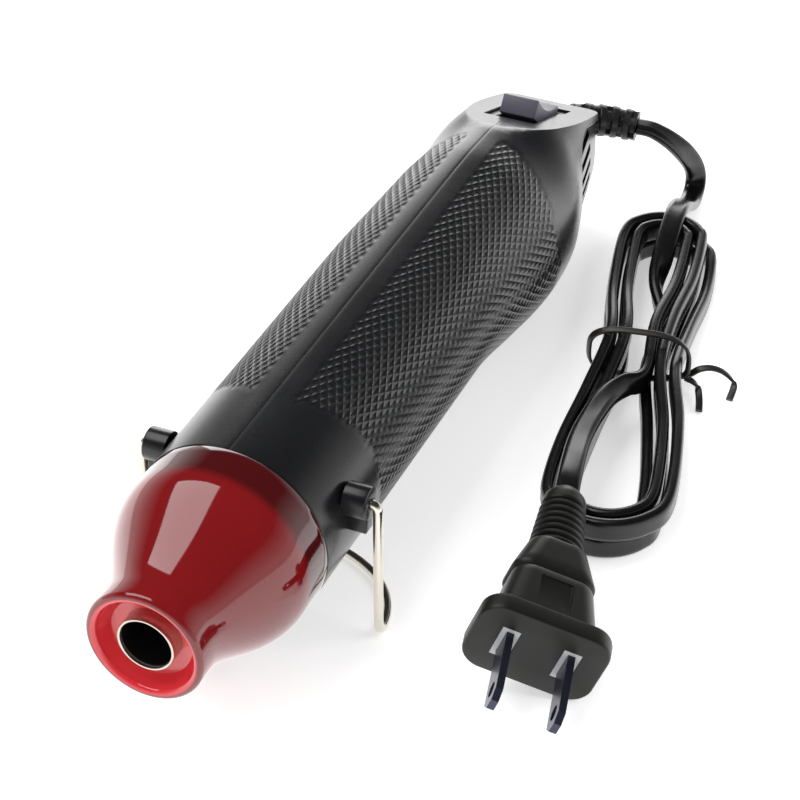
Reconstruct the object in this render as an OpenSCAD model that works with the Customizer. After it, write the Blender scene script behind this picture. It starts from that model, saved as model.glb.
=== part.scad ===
// Embossing heat tool: a small hot-air gun with a straight round handle.
// The nozzle points to -Y, the switch side is up, +X is the near side, and the
// tool rests on the table (z = 0) on its heel and on a wire stand.

/* [Handle] */
// Length from the nozzle rim to the rear face
tool_len = 210; // [200:1:225]
// Diameter of the round barrel
barrel_d = 40.8; // [40:0.1:43]
// Height of the barrel's axis above the table
axis_h = 27.5; // [26:0.1:29]
// Wall of the handle shells
shell_wall = 2.2; // [1.8:0.1:2.6]
// Length of the belly, head and tail behind the round barrel
belly_len = 92; // [86:1:96]
// Length of the tail behind the shells' stepped edge
tail_len = 26; // [24:0.5:28]
// Depth of the step round the tail
tail_step = 0.9; // [0.6:0.1:1.2]
// Slope of the switch facet
facet_tilt = 20.4; // [18:0.1:23]
// Distance from the rear face to the facet's middle
facet_back = 18; // [17:0.5:19]
// Height of the facet's middle above the barrel's axis
facet_rise = 11; // [10:0.1:12]

/* [Vents] */
// Slots on each side of the tail
slot_count = 5; // [3:1:5]
// Height of one slot
slot_h = 2; // [1.5:0.1:2.4]
// Distance between slots
slot_pitch = 3.9; // [3.6:0.1:4.2]
// Length of one slot
slot_len = 14; // [10:0.5:16]

/* [Nozzle] */
// Length of the red shroud
shroud_len = 36.8; // [34:0.2:40]
// Outer diameter of the shroud's rim
rim_d = 24.6; // [23:0.1:27]
// Wall of the shroud
shroud_wall = 1.7; // [1.4:0.1:2]
// Depth of the dish behind the rim
dish_depth = 4.5; // [3:0.1:6]
// Inner diameter of the steel outlet tube
tube_bore = 10.8; // [10:0.1:12]
// Wall of the steel outlet tube
tube_wall = 0.5; // [0.4:0.05:0.7]
// Distance from the rim back to the tube's end
tube_back = 1; // [0.5:0.1:2]
// Length of the shells' spigot inside the shroud
spigot_len = 7; // [5:0.5:9]

/* [Heater] */
// Outer diameter of the mica tube
mica_d = 31; // [30:0.1:31.6]
// Length of the mica tube
mica_len = 56; // [50:1:58]
// Thickness of the mica sheet
mica_t = 0.5; // [0.4:0.05:0.6]
// Thickness of the cross's plates
cross_t = 0.8; // [0.6:0.1:1.2]
// Turns of the heating coil
coil_turns = 9; // [6:1:10]
// Diameter of the coil's wire
coil_wire = 0.7; // [0.5:0.05:0.9]

/* [Fan and motor] */
// Outer diameter of the fan duct
duct_d = 35; // [34:0.1:35.4]
// Wall of the fan duct
duct_wall = 1.2; // [1:0.1:1.5]
// Length of the fan duct
duct_len = 34; // [32:1:36]
// Blades on the fan
fan_blades = 7; // [5:1:9]
// Gap between the blades' tips and the duct
fan_gap = 0.8; // [0.6:0.1:1.2]
// Diameter of the motor's shaft
shaft_d = 2; // [1.5:0.1:2.5]
// Diameter of the motor
motor_d = 24; // [22:0.2:25]
// Length of the motor's can
motor_len = 28; // [26:0.5:32]

/* [Switch] */
// Width of the recess in the facet
recess_w = 13.8; // [13:0.1:15]
// Length of the recess
recess_len = 23.6; // [22.5:0.1:24.5]
// Width of the rocker
rocker_w = 8.8; // [8:0.1:9.6]
// Length of the rocker
rocker_len = 17; // [16:0.1:17.6]
// Tilt of the rocker each way from level
rocker_tilt = 12; // [10:0.5:13]
// Depth of the switch body under its bezel
switch_depth = 10; // [9:0.5:11]

/* [Stand] */
// Diameter of the stand's wire
wire_d = 2; // [1.8:0.1:2.2]
// Distance between the stand's legs, centre to centre
leg_gap = 51.4; // [51:0.1:54]
// Distance from the nozzle rim to the stand's pivot
pivot_back = 48.5; // [47:0.1:52]
// Height of the pivot above the barrel's axis
pivot_rise = 6.3; // [4:0.1:7]
// Diameter of the pivot bosses
boss_d = 7; // [6.6:0.1:8.4]
// Radius of the foot's corners
foot_corner_r = 20; // [18:0.5:21]
// Radius of the foot's rear bow
foot_bow_r = 30; // [28:0.5:33]
// Radial clearance of the wire in its bosses
wire_fit = 0.05; // [0.02:0.01:0.1]

/* [Cord and plug] */
// Width of the flat cord
cord_w = 5.2; // [5:0.1:5.6]
// Thickness of the flat cord
cord_t = 2.8; // [2.6:0.1:3]
// Turns of the put-away hank
hank_turns = 4; // [2:1:4]
// Step between neighbouring turns
hank_step = 3.4; // [3.3:0.1:4]
// Diameter of the tie round the hank
tie_d = 1.6; // [1.2:0.1:1.7]
// Diameter of the cord boot's ribs
boot_d = 8.6; // [8:0.1:9.2]
// Ribs on the cord boot
boot_ribs = 7; // [5:1:8]
// Width of the plug's face
plug_w = 27; // [25:0.5:28]
// Height of the plug's face
plug_h = 18.5; // [17:0.5:19]
// Length of one plug blade
blade_len = 16; // [15:0.5:18]
// Width of one plug blade
blade_w = 6.3; // [6:0.1:6.6]
// Thickness of one plug blade
blade_t = 1.5; // [1.3:0.1:1.7]
// Distance between the plug blades, centre to centre
blade_gap = 12.7; // [12.5:0.1:12.9]

/* [Hidden] */
$fn = 64;

black = "#202024";
mid_y = tool_len / 2;                 // the rim lies at y = -mid_y
barrel_r = barrel_d / 2;
fit = 0.15;                           // clearance of seated pieces
smooth = 0.02;                        // keeps the belly's first ring inside the barrel

// Height of the facet above the axis at a station
function facet_y(st) = facet_rise - (st - (tool_len - facet_back)) * tan(facet_tilt);

// Smooth curve through a short list of [station, value] pairs
function seg(p, s, i = 0) = i >= len(p) - 2 || s < p[i + 1][0] ? i : seg(p, s, i + 1);
function slope(p, i) = i == 0 || i == len(p) - 1 ? 0
    : (p[i + 1][1] - p[i - 1][1]) / (p[i + 1][0] - p[i - 1][0]);
function flow(p, s) = let (i = seg(p, s), h = p[i + 1][0] - p[i][0],
    t = max(0, min(1, (s - p[i][0]) / h)), a = slope(p, i) * h, b = slope(p, i + 1) * h)
    p[i][1] * (2 * t^3 - 3 * t^2 + 1) + a * (t^3 - 2 * t^2 + t)
    + p[i + 1][1] * (3 * t^2 - 2 * t^3) + b * (t^3 - t^2);

// Form of the belly and head, by the distance u in front of the rear face (u < 0)
k = belly_len / 92;
side_grow = [[-92, 0], [-70, 0.2], [-55, 0.4], [-44, 0.1], [-34, -0.9], [-26, -3],
    [-18, -4.5], [-8, -6.4], [0, -7.6]];
top_grow = [[-92, 0], [-56, -0.1], [-44, -0.8], [-34, -1.5], [0, -1.5]];
bulge = [[-92, 0], [-80, 0.15], [-68, 0.45], [-56, 0.77], [-46, 0.96], [-39, 1],
    [-32, 0.96], [-26, 0.88], [-18, 0.68], [-6, 0.44], [0, 0.32]];
wide_y = [[-92, 0], [-70, -2.5], [-56, -4], [-40, -5], [0, -5]];
round_up = [[-92, 2], [-56, 1.9], [-42, 1.85], [-30, 2.3], [0, 2.3]];
round_low = [[-92, 2], [-70, 2.2], [-50, 2.3], [0, 2.4]];
rear_r = 3.5;                         // rounding of the rear edge

function rear_in(u, r) = u <= -r ? 0 : r - sqrt(max(0, r * r - (u + r) ^ 2));
function power(v, n) = sign(v) * abs(v) ^ (2 / n);

// One half section at u: the facet, the hood's lip, the step and the flank, down to the bottom
function half_ring(u, inset, drop, step, r_end) = let (
    e = inset + rear_in(u, r_end), c = flow(wide_y, u / k),
    w = barrel_r + flow(side_grow, u / k) - e,
    up = barrel_r + flow(top_grow, u / k) - c - e,
    low = barrel_r + (axis_h - barrel_r) * flow(bulge, u / k) + c - e,
    nu = flow(round_up, u / k), nl = flow(round_low, u / k),
    top = min(facet_y(tool_len + u) - drop, c + up - 0.01),
    lip = min(lip_edge(u), top - 0.4),
    s = u > -tail_len + 0.001 ? step : 0,
    a1 = asin(((top - c) / up) ^ (nu / 2)),
    a2 = lip > c ? asin(((lip - c) / up) ^ (nu / 2)) : -asin(((c - lip) / low) ^ (nl / 2)))
    concat([for (i = [0:facet_n]) [ring_x(w, up, c, nu, a1) * i / facet_n, top]],
        [for (i = [1:lip_n]) ring_point(w, up, low, c, nu, nl, a1 + (a2 - a1) * i / lip_n, 0)],
        [for (i = [0:flank_n]) ring_point(w, up, low, c, nu, nl, a2 - 1.5 - (88.5 + a2) * i / flank_n, s)]);
function ring_x(w, up, c, nu, a) = w * power(cos(a), nu);
function ring_point(w, up, low, c, nu, nl, a, s) = a >= 0
    ? [(w - s) * power(cos(a), nu), c + (up - s) * power(sin(a), nu)]
    : [max(0, (w - s) * power(cos(a), nl)), c + (low - s) * power(sin(a), nl)];
facet_n = 1;
lip_n = 3;
flank_n = 14;
ring_n = facet_n + lip_n + flank_n + 2;

// Height of the stepped edge: up the side in an arc, then along under the facet
edge_r = 10;
hood_lip = 1.6;
function lip_y(u) = facet_y(tool_len + u) - hood_lip;
edge_u = -tail_len + edge_r;
edge_v = lip_y(edge_u) - edge_r / cos(facet_tilt);
edge_end = edge_u + edge_r * sin(facet_tilt);
function lip_edge(u) = u <= -tail_len ? edge_v : u >= edge_end ? lip_y(u)
    : edge_v + sqrt(max(0, edge_r ^ 2 - (u - edge_u) ^ 2));

// Solid loft through half sections, flat on the mid-plane or past it by over
module half_loft(rings, us, side, over = 0) {
    n = len(rings[0]);
    m = len(us);
    points = [for (j = [0:m - 1], i = [0:n - 1]) let (p = rings[j][i])
        [side * (i == 0 || i == n - 1 ? -over : p[0]), us[j] + mid_y, axis_h + p[1]]];
    skin = [for (j = [0:m - 2], i = [0:n - 1]) let (p = j * n + i, q = j * n + (i + 1) % n)
        each [[p, q, q + n], [p, q + n, p + n]]];
    faces = concat(skin, [[for (i = [n - 1:-1:0]) i], [for (i = [0:n - 1]) (m - 1) * n + i]]);
    polyhedron(points, side > 0 ? [for (f = faces) [for (i = [len(f) - 1:-1:0]) f[i]]] : faces);
}

// Half of the belly, head and tail as one wall, open in front and closed at the rear
module half_tail(side) {
    front = -belly_len - 1;
    us = concat([for (u = [front:5:-tail_len - 2]) u], [-tail_len, -tail_len + 0.4],
        [for (a = [20:15:80]) edge_u - edge_r * cos(a)], [for (u = [edge_u + 3:4:-rear_r - 1]) u],
        [for (a = [0:30:90]) -rear_r + rear_r * sin(a)]);
    ui = concat([for (u = [front - 0.5:6:-tail_len - 2]) u],
        [for (u = [-tail_len + 3:5:-shell_wall - 3]) u], [-shell_wall]);
    difference() {
        half_loft([for (u = us) half_ring(u, smooth, 0, tail_step, rear_r)], us, side);
        half_loft([for (u = ui) half_ring(u, shell_wall + (u > -tail_len - 3 ? tail_step : 0),
            shell_wall, 0, 0.1)], ui, side, 1);
    }
}

// Draws children along the barrel's axis, with z the distance from the nozzle rim
module on_axis(st = 0) translate([0, st - mid_y, axis_h]) rotate([-90, 0, 0]) children();

// Draws children at the switch, with z square to the facet and y down its slope
module at_switch() translate([0, mid_y - facet_back, axis_h + facet_rise])
    rotate([-facet_tilt, 0, 0]) children();

// Half a round wall about the axis, between two stations, on one side of the mid-plane
module half_wall(st0, st1, r_in, r_out, side)
    on_axis(st0) rotate([0, 0, side > 0 ? -90 : 90]) rotate_extrude(angle = 180)
        translate([r_in, 0]) square([r_out - r_in, st1 - st0]);

barrel_in = barrel_r - shell_wall;
belly_st = tool_len - belly_len;
spigot_r = barrel_r - shroud_wall - fit;
spigot_wall = 1.5;
sleeve_st = shroud_len + 3;            // rear end of the outlet tube's funnel
mica_st = shroud_len - 2;              // front end of the mica tube
mica_r = mica_d / 2;
tube_r = tube_bore / 2;
funnel_r = mica_r + 0.05;              // inside of the funnel's sleeve
duct_st = mica_st + mica_len;
duct_r = duct_d / 2;
rib_t = 1.6;
boss_out = leg_gap / 2 - wire_d / 2 - 0.4;
boot_y = -3.5;                         // height of the cord's hole above the axis
boot_r = 4.6;
boot_flange = 1.5;
post_r = 3;
screw_r = 1.4;
posts = [[-50, -17.8], [-18, -15.5]];  // screw posts: distance from the rear, height

module screw_line(p) translate([0, mid_y + p[0], axis_h + p[1]]) rotate([0, 90, 0]) children();

module half_shell(side) {
    difference() {
        union() {
            half_wall(shroud_len, belly_st, barrel_in, barrel_r, side);
            half_wall(shroud_len - spigot_len, shroud_len + 5, spigot_r - spigot_wall, spigot_r, side);
            half_tail(side);
            // ribs that carry the heater and the fan duct
            for (st = [mica_st + mica_len * 0.25, mica_st + mica_len * 0.85])
                half_wall(st, st + rib_t, mica_r + fit, barrel_in + 0.3, side);
            for (st = [duct_st + 4, duct_st + duct_len - 6])
                half_wall(st, st + rib_t, duct_r + fit, barrel_in + 0.3, side);
            half_wall(sleeve_st - 4, sleeve_st - 4 + rib_t, mica_r + tube_wall + 0.05 + fit,
                barrel_in + 0.3, side);
            // boss of the stand and the web under it
            translate([side * (barrel_in - 0.4), pivot_back - mid_y, axis_h + pivot_rise])
                rotate([0, side * 90, 0]) cylinder(d = boss_d, h = boss_out - barrel_in + 0.4);
            translate([side > 0 ? barrel_in + 0.4 : -boss_out, pivot_back - mid_y - 1.6, axis_h - 0.4])
                cube([boss_out - barrel_in - 0.4, 3.2, pivot_rise]);
            // posts of the case screws
            for (p = posts) screw_line(p) if (side > 0) cylinder(r = post_r, h = post_reach(p));
                else mirror([0, 0, 1]) cylinder(r = post_r, h = post_reach(p));
        }
        // pivot hole of the stand
        translate([side * (barrel_in - 3), pivot_back - mid_y, axis_h + pivot_rise])
            rotate([0, side * 90, 0]) cylinder(d = wire_d + 2 * wire_fit, h = 14);
        // recess of the switch
        at_switch() translate([-recess_w / 2, -recess_len / 2, -8]) cube([recess_w, recess_len, 16]);
        // vent slots in the tail's side
        for (i = [0:slot_count - 1])
            translate([side * 6, mid_y - tail_len + 1.5, axis_h - 12 + i * slot_pitch])
                scale([side, 1, 1]) cube([20, slot_len, slot_h]);
        // hole of the cord
        on_axis(tool_len - 8) translate([0, -boot_y, 0]) cylinder(r = boot_r + fit, h = 20);
        // screw holes: clear in the left shell, pilots in the right one
        for (p = posts) screw_line(p) if (side > 0) translate([0, 0, -1]) cylinder(r = screw_r, h = 9);
            else mirror([0, 0, 1]) translate([0, 0, -1]) {
                cylinder(r = screw_r + fit, h = 40);
                translate([0, 0, 1 + post_reach(p) - 4]) cylinder(r = 2.8, h = 40);
            }
    }
}
// How far a post reaches from the mid-plane, to just inside the wall's outer face
function post_reach(p) = let (c = flow(wide_y, p[0] / k), w = barrel_r + flow(side_grow, p[0] / k),
    low = barrel_r + (axis_h - barrel_r) * flow(bulge, p[0] / k) + c,
    nl = flow(round_low, p[0] / k), t = (c - p[1]) / low)
    w * (1 - t ^ nl) ^ (1 / nl) - shell_wall - tail_step;

module right_shell() color(black) half_shell(1);
module left_shell() color(black) half_shell(-1);

rim_r = rim_d / 2;
lip_r = 1.1;
dish_t = 1.5;
flare_st = [5.5, 29.5];                // where the shroud's flare starts and ends
// Outer radius of the shroud
function shroud_r(st) = let (t = max(0, min(1, (st - flare_st[0]) / (flare_st[1] - flare_st[0]))))
    rim_r + (barrel_r - rim_r) * (1 - cos(180 * t)) / 2;

module nozzle_shroud() color("#c01414", 0.9) on_axis() rotate_extrude() polygon(concat(
    [for (a = [0:30:180]) [rim_r - lip_r + lip_r * cos(a), lip_r - lip_r * sin(a)]],
    [[rim_r - 2 * lip_r - 0.5, dish_depth - 0.6], [rim_r - 2 * lip_r - 1.1, dish_depth],
     [tube_r + tube_wall + fit, dish_depth],
     [tube_r + tube_wall + fit, dish_depth + 4], [tube_r + tube_wall + fit + 1.2, dish_depth + 4],
     [tube_r + tube_wall + fit + 1.2, dish_depth + dish_t]],
    [for (st = [dish_depth + dish_t:1.5:flare_st[1]]) [shroud_r(st) - shroud_wall, st]],
    [[barrel_r - shroud_wall, flare_st[1] + 1], [barrel_r - shroud_wall, shroud_len],
     [barrel_r, shroud_len], [barrel_r, flare_st[1]]],
    [for (st = [flare_st[1] - 1.5:-1.5:lip_r + 0.5]) [shroud_r(st), st]]));

module outlet_tube() color("#c8c8cc") on_axis() rotate_extrude() {
    neck = shroud_len - 17;
    wide = shroud_len - 4;
    polygon([[tube_r, tube_back], [tube_r + tube_wall, tube_back],
        [tube_r + tube_wall, neck], [funnel_r + tube_wall, wide],
        [funnel_r + tube_wall, sleeve_st], [funnel_r, sleeve_st],
        [funnel_r, wide + 0.2], [tube_r, neck + 0.2]]);
}

module mica_tube() color("#d8c9a0") on_axis(mica_st) difference() {
    cylinder(r = mica_r, h = mica_len);
    translate([0, 0, -1]) cylinder(r = mica_r - mica_t, h = mica_len + 2);
}

cross_w = mica_r - mica_t - 2.4;       // half width of the cross's plates
disc_t = 1.5;
module heater_cross() color("#e3d6b0") on_axis(mica_st + 2) for (a = [0, 90]) rotate(a) {
    translate([-cross_w, -cross_t / 2, 0]) cube([2 * cross_w, cross_t, mica_len - 6]);
    translate([-cross_w / 2, -cross_t / 2, 0]) cube([cross_w, cross_t, mica_len - 2.1 + fit]);
}

// A closed tube of round section swept along points, all with the same up vector
function unit(v) = v / norm(v);
module sweep(path, r, sides, up = [0, 0, 1], flat = 1) {
    n = len(path);
    points = [for (i = [0:n - 1]) let (t = unit(path[min(i + 1, n - 1)] - path[max(i - 1, 0)]),
        a = unit(cross(up, t)), b = cross(t, a), ri = is_list(r) ? r[i] : r)
        for (j = [0:sides - 1]) path[i] + ri * cos(360 * j / sides) * a
            + ri * flat * sin(360 * j / sides) * b];
    skin = [for (i = [0:n - 2], j = [0:sides - 1]) let (p = i * sides + j, q = i * sides + (j + 1) % sides)
        each [[p, q + sides, q], [p, p + sides, q + sides]]];
    caps = [for (j = [1:sides - 2]) each [[0, j, j + 1],
        [(n - 1) * sides, (n - 1) * sides + j + 1, (n - 1) * sides + j]]];
    polyhedron(points, concat(skin, caps));
}

coil_r = cross_w + coil_wire / 2 + 0.2;
module heater_coil() color("#8c8478") on_axis(mica_st + 6) sweep(
    [for (i = [0:8 * coil_turns]) [coil_r * cos(45 * i), coil_r * sin(45 * i),
        i / (8 * coil_turns) * (mica_len - 14)]], coil_wire / 2 / cos(22.5) * 0.95, 6);

module heater_disc() color("#d8c9a0") on_axis(duct_st + 0.1) difference() {
    cylinder(r = duct_r - duct_wall - fit, h = disc_t);
    for (i = [0:5]) rotate(60 * i) translate([9.5, 0, -1]) cylinder(r = 3.4, h = disc_t + 2);
}

module thermal_cutout() color("#b8b8bc") on_axis(mica_st + mica_len - 18)
    translate([cross_t / 2 + 2, cross_t / 2 + 2, 0]) { cylinder(r = 1.8, h = 10);
        translate([0, 0, -2]) cylinder(r = 0.5, h = 14); }

fan_st = duct_st + 6;                  // front of the fan's hub
hub_len = 9;
hub_r = 4.6;
fan_r = duct_r - duct_wall - fan_gap;
motor_st = fan_st + hub_len + 2.4;
motor_r = motor_d / 2;
shaft_r = shaft_d / 2;
cap_len = 4;
socket_t = 1.3;                       // wall of the ring that holds the motor
module fan_duct() color("#3a3a3e") {
    on_axis(duct_st) rotate_extrude() translate([duct_r - duct_wall, 0]) square([duct_wall, duct_len]);
    on_axis(motor_st + 1) {
        rotate_extrude() translate([motor_r + fit, 0]) square([socket_t, 9]);
        for (a = [45:90:315]) rotate(a) translate([motor_r + fit + socket_t / 2, -0.7, 1])
            cube([duct_r - duct_wall / 2 - motor_r - fit - socket_t / 2, 1.4, 7]);
    }
}

module fan_rotor() color("#d9d9d4") on_axis(fan_st) difference() {
    union() {
        cylinder(r = hub_r, h = hub_len);
        intersection() {
            for (i = [0:fan_blades - 1]) rotate(360 / fan_blades * i) translate([0, 0, hub_len / 2])
                rotate([35, 0, 0]) translate([hub_r - 1, -0.4, -4.5]) cube([fan_r, 0.8, 9]);
            cylinder(r = fan_r, h = hub_len);
        }
    }
    translate([0, 0, -1]) cylinder(r = shaft_r, h = hub_len + 2);
}

shaft_len = hub_len + 2.4 + motor_len + 3.7;
module motor_shaft() color("#c0c0c4") on_axis(fan_st - 1) cylinder(r = shaft_r, h = shaft_len);

module motor_can() color("#a9abb0") on_axis(motor_st) difference() {
    union() {
        cylinder(r = motor_r, h = motor_len);
        translate([0, 0, -1.6]) cylinder(r = 3, h = 3);
    }
    translate([0, 0, -3]) cylinder(r = shaft_r + 0.05, h = motor_len + 6);
}

module motor_end_cap() color("#e8e8e0") on_axis(motor_st + motor_len) difference() {
    union() {
        cylinder(r = motor_r - 0.8, h = 2);
        cylinder(r = 3.2, h = cap_len);
        for (s = [-1, 1]) translate([s * 7 - 1.5, -0.4, 0]) cube([3, 0.8, cap_len]);
    }
    translate([0, 0, -1]) cylinder(r = shaft_r + 0.05, h = cap_len);
}

board_st = motor_st + motor_len + cap_len + 0.1;
board_t = 1.6;
module rectifier_board() color("#b58a3c") on_axis(board_st)
    translate([-9, -7, 0]) cube([18, 14, board_t]);
module rectifier_diodes() color("#18181a") on_axis(board_st + board_t)
    for (i = [-1.5:1.5]) translate([i * 4.2, -2.6, 1.5]) rotate([-90, 0, 0]) cylinder(r = 1.4, h = 5.2);

pivot_z = -3.2;                        // the rocker's pivot under the facet
pin_r = 0.9;
bezel_drop = 0.6;
well_len = rocker_len + 2.8;
housing_w = recess_w - 1.6;
module switch_housing() color("#26262a") at_switch() difference() {
    union() {
        translate([-recess_w / 2 + fit, -recess_len / 2 + fit, -shell_wall - 0.1])
            cube([recess_w - 2 * fit, recess_len - 2 * fit, shell_wall + 0.1 - bezel_drop]);
        translate([-recess_w / 2 - 1, -recess_len / 2 - 1, -shell_wall - 1.3])
            cube([recess_w + 2, recess_len + 2, 1.2]);
        translate([-housing_w / 2, -recess_len / 2 + 0.8, -switch_depth])
            cube([housing_w, recess_len - 1.6, switch_depth - shell_wall]);
    }
    translate([-rocker_w / 2 - 0.3, -well_len / 2, -switch_depth + 1.2])
        cube([rocker_w + 0.6, well_len, switch_depth]);
    translate([-rocker_w / 2 - 1.3, 0, pivot_z]) rotate([0, 90, 0])
        cylinder(r = pin_r + 0.05, h = rocker_w + 2.6);
}

module switch_rocker() color("#55525f") at_switch() translate([0, 0, pivot_z])
    rotate([-rocker_tilt, 0, 0]) {
        hl = rocker_len / 2;
        translate([-rocker_w / 2, 0, 0]) rotate([90, 0, 90]) linear_extrude(rocker_w)
            polygon([[-hl, 1.8], [-hl + 0.4, 5.4], [0, 4.1], [hl - 0.4, 5.4], [hl, 1.8],
                [3, 0.8], [3, -2.6], [-3, -2.6], [-3, 0.8]]);
        translate([-rocker_w / 2 - 1.1, 0, 0]) rotate([0, 90, 0])
            cylinder(r = pin_r, h = rocker_w + 2.2);
    }

module switch_terminals() color("#c9a24a") at_switch()
    for (s = [-1, 1]) translate([-2.4, s * 5 - 0.4, -switch_depth - 6]) cube([4.8, 0.8, 6]);

module case_screws() color("#8a8c90") for (p = posts) screw_line(p) mirror([0, 0, 1]) {
    h = post_reach(p) - 4;
    translate([0, 0, h]) cylinder(r = 2.6, h = 1.8);
    translate([0, 0, -7]) cylinder(r = screw_r - 0.05, h = h + 7);
}

wire_r = wire_d / 2;
foot_z = wire_r;                       // height of the foot's centre line
bend_r = 2.5;                          // bend between a leg and the foot
leg_x = leg_gap / 2;
bow_y = -sqrt((foot_bow_r - foot_corner_r) ^ 2 - (leg_x - foot_corner_r) ^ 2);
bow_a = atan2(-bow_y, leg_x - foot_corner_r);
// Right half of the wire's centre line, from the pivot down to the bow's middle
half_wire = concat([[leg_x, 0, axis_h + pivot_rise], [leg_x, 0, foot_z + bend_r]],
    [for (a = [30:30:60]) [leg_x, bend_r - bend_r * cos(a), foot_z + bend_r - bend_r * sin(a)]],
    [for (i = [0:6]) let (a0 = asin(bend_r / foot_corner_r), a = a0 + (bow_a - a0) * i / 6)
        [leg_x - foot_corner_r + foot_corner_r * cos(a), foot_corner_r * sin(a), foot_z]],
    [for (i = [1:4]) let (a = bow_a + (90 - bow_a) * i / 4)
        [foot_bow_r * cos(a), bow_y + foot_bow_r * sin(a), foot_z]]);
module stand_bail() color("#d6d2c4") translate([0, pivot_back - mid_y, 0]) {
    n = len(half_wire);
    sweep(concat(half_wire, [for (i = [n - 2:-1:0]) [-half_wire[i][0], half_wire[i][1], half_wire[i][2]]]),
        wire_r, 10, [1, 1, 1]);
    for (s = [-1, 1]) translate([s * leg_x, 0, axis_h + pivot_rise]) {
        sphere(r = wire_r + 0.04);
        rotate([0, -s * 90, 0]) cylinder(r = wire_r, h = leg_x - barrel_in);
    }
}

// Cord, from the rear face to the plug. Points are [x, distance from the rim, height].
cord_r = cord_t / 2;
on_edge = cord_w / cord_t;             // height over width of the cord where it stands on edge
sit = 0.05;                            // clearance over the table
boot_route = [[0, 205.6, 24], [0, 210.6, 24], [1.2, 214.4, 24], [4.6, 217.8, 23.7],
    [9, 220.2, 23.2], [13.2, 221.6, 22.7], [17.4, 222.2, 22.4]];
lead_route = [[17.4, 222.2, 22.4], [20.8, 223.2, 21.8], [24.4, 224.8, 19.4], [27.2, 227, 16],
    [28.9, 229.6, 12.2], [29.8, 231.8, 8.6], [30.3, 232.4, 5.6], [30.7, 231, 3.4], [31.1, 228, 2.5],
    [31.6, 224, 3], [32.2, 219, 5.4], [32.8, 213.2, 8.8], [33.8, 206.4, 11], [35, 198, 10.8],
    [36.4, 189, 9], [38, 180, 6.4]];
function world(p) = [p[0], p[1] - mid_y + (tool_len - 210), p[2]];
function along(route, t) = let (i = min(floor(t), len(route) - 2), f = t - i)
    route[i] * (1 - f) + route[i + 1] * f;

module cord_clamp() color("#5a5a60") on_axis(tool_len - shell_wall - boot_flange - clamp_t - 0.2)
    difference() {
        translate([-7, -boot_y - 3.4, 0]) cube([14, 6.8, clamp_t]);
        translate([0, -boot_y, -1]) cylinder(r = cord_r + 0.1, h = clamp_t + 2);
    }
clamp_t = 4;                           // the clamp bears on the boot's flange

// Boot: a flange inside the rear wall, a neck through it and a ribbed, bent sleeve
module cord_boot() color("#17171a") {
    wall_in = tool_len - shell_wall - 0.1;
    on_axis(wall_in - boot_flange) translate([0, -boot_y, 0]) {
        cylinder(r = boot_r + 1.4, h = boot_flange);
        cylinder(r = boot_r, h = boot_flange + shell_wall + 0.6);
    }
    ribs = boot_ribs * 4;
    path = [for (i = [0:ribs]) world(along(boot_route, 1 + (len(boot_route) - 2) * i / ribs))];
    sweep(path, [for (i = [0:ribs]) boot_d / 2 * (i % 4 < 2 ? 1 : 0.82)], 10);
}

module cord_lead() color("#141416") sweep(concat([for (p = lead_route) world(p)], [hank_path[0]]),
    cord_r, 8, [0.2, 0.3, 1], 1.5);

// Hank: turns that spiral out on the table, climb, and spiral in on top, drawn in at the tie.
// Each turn is a long loop with round ends; s runs along the hank and x across it.
tie_at = [44, 151];                    // x and distance from the rim
hank_turn = 12;                        // the hank's angle to the handle
hank_top = 46;                         // from the tie to the centre of the top bends
hank_low = 51;                         // from the tie to the centre of the lower bends
bend_top = 5;                          // radius of the innermost bend at the top
bend_low = 7;                          // and at the lower end
bend_arc = 52;                         // how much of a quarter turn's 90 degrees a bend takes
waist = 0.7;                           // how far the tie draws the turns in
waist_len = 22;
layer_step = cord_w + 0.6;
hank_start = 74;                       // where the lead joins, in degrees from the top
hank_end = hank_turns * 360 + 96;      // and where the last stretch leaves
hank_rings = floor((hank_end - hank_start) / 15);
function hank_pt(phi) = let (turn = (phi - hank_start) / (hank_end - hank_start) * 2 - 1,
    g = hank_step * (hank_end - hank_start) / 720 * (1 - abs(turn)),
    c = abs(((phi % 360) + 540) % 360 - 180), low = c > 90, q = low ? 180 - c : c,
    bend = min(1, q / bend_arc) * 90, run = max(0, (q - bend_arc) / (90 - bend_arc)),
    s0 = low ? -hank_low + (hank_low + (hank_top - hank_low) / 2) * run
        : hank_top - (hank_top - (hank_top - hank_low) / 2) * run,
    mix = (s0 + hank_low) / (hank_top + hank_low), b = bend_low + (bend_top - bend_low) * mix,
    w = waist * exp(-(s0 / waist_len) ^ 2),
    s = s0 + (low ? -1 : 1) * (b + g) * cos(bend),
    x = sign(sin(phi)) * sin(bend) * (b * (1 - w) + g),
    climb = max(0, min(1, turn * 16 + 0.5)),
    z = cord_w / 2 + sit + climb * layer_step + (tie_d + 0.2) * exp(-(s / 14) ^ 2))
    [tie_at[0] + x * cos(hank_turn) - s * sin(hank_turn),
     tie_at[1] - mid_y + x * sin(hank_turn) + s * cos(hank_turn), z];
hank_path = [for (i = [0:hank_rings])
    hank_pt(hank_start + i * (hank_end - hank_start) / hank_rings)];
// Least gap of the hank to itself, across or up, between points over a third of a turn apart
hank_gap = min([for (i = [0:len(hank_path) - 1], j = [i + 8:1:len(hank_path) - 1])
    let (d = hank_path[i] - hank_path[j]) max(norm([d[0], d[1]]) - cord_t, abs(d[2]) - cord_w)]);
echo(hank_gap = hank_gap);
module cord_hank() color("#141416") sweep(hank_path, cord_r, 6, [0.02, 0.03, 1], on_edge);

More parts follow.
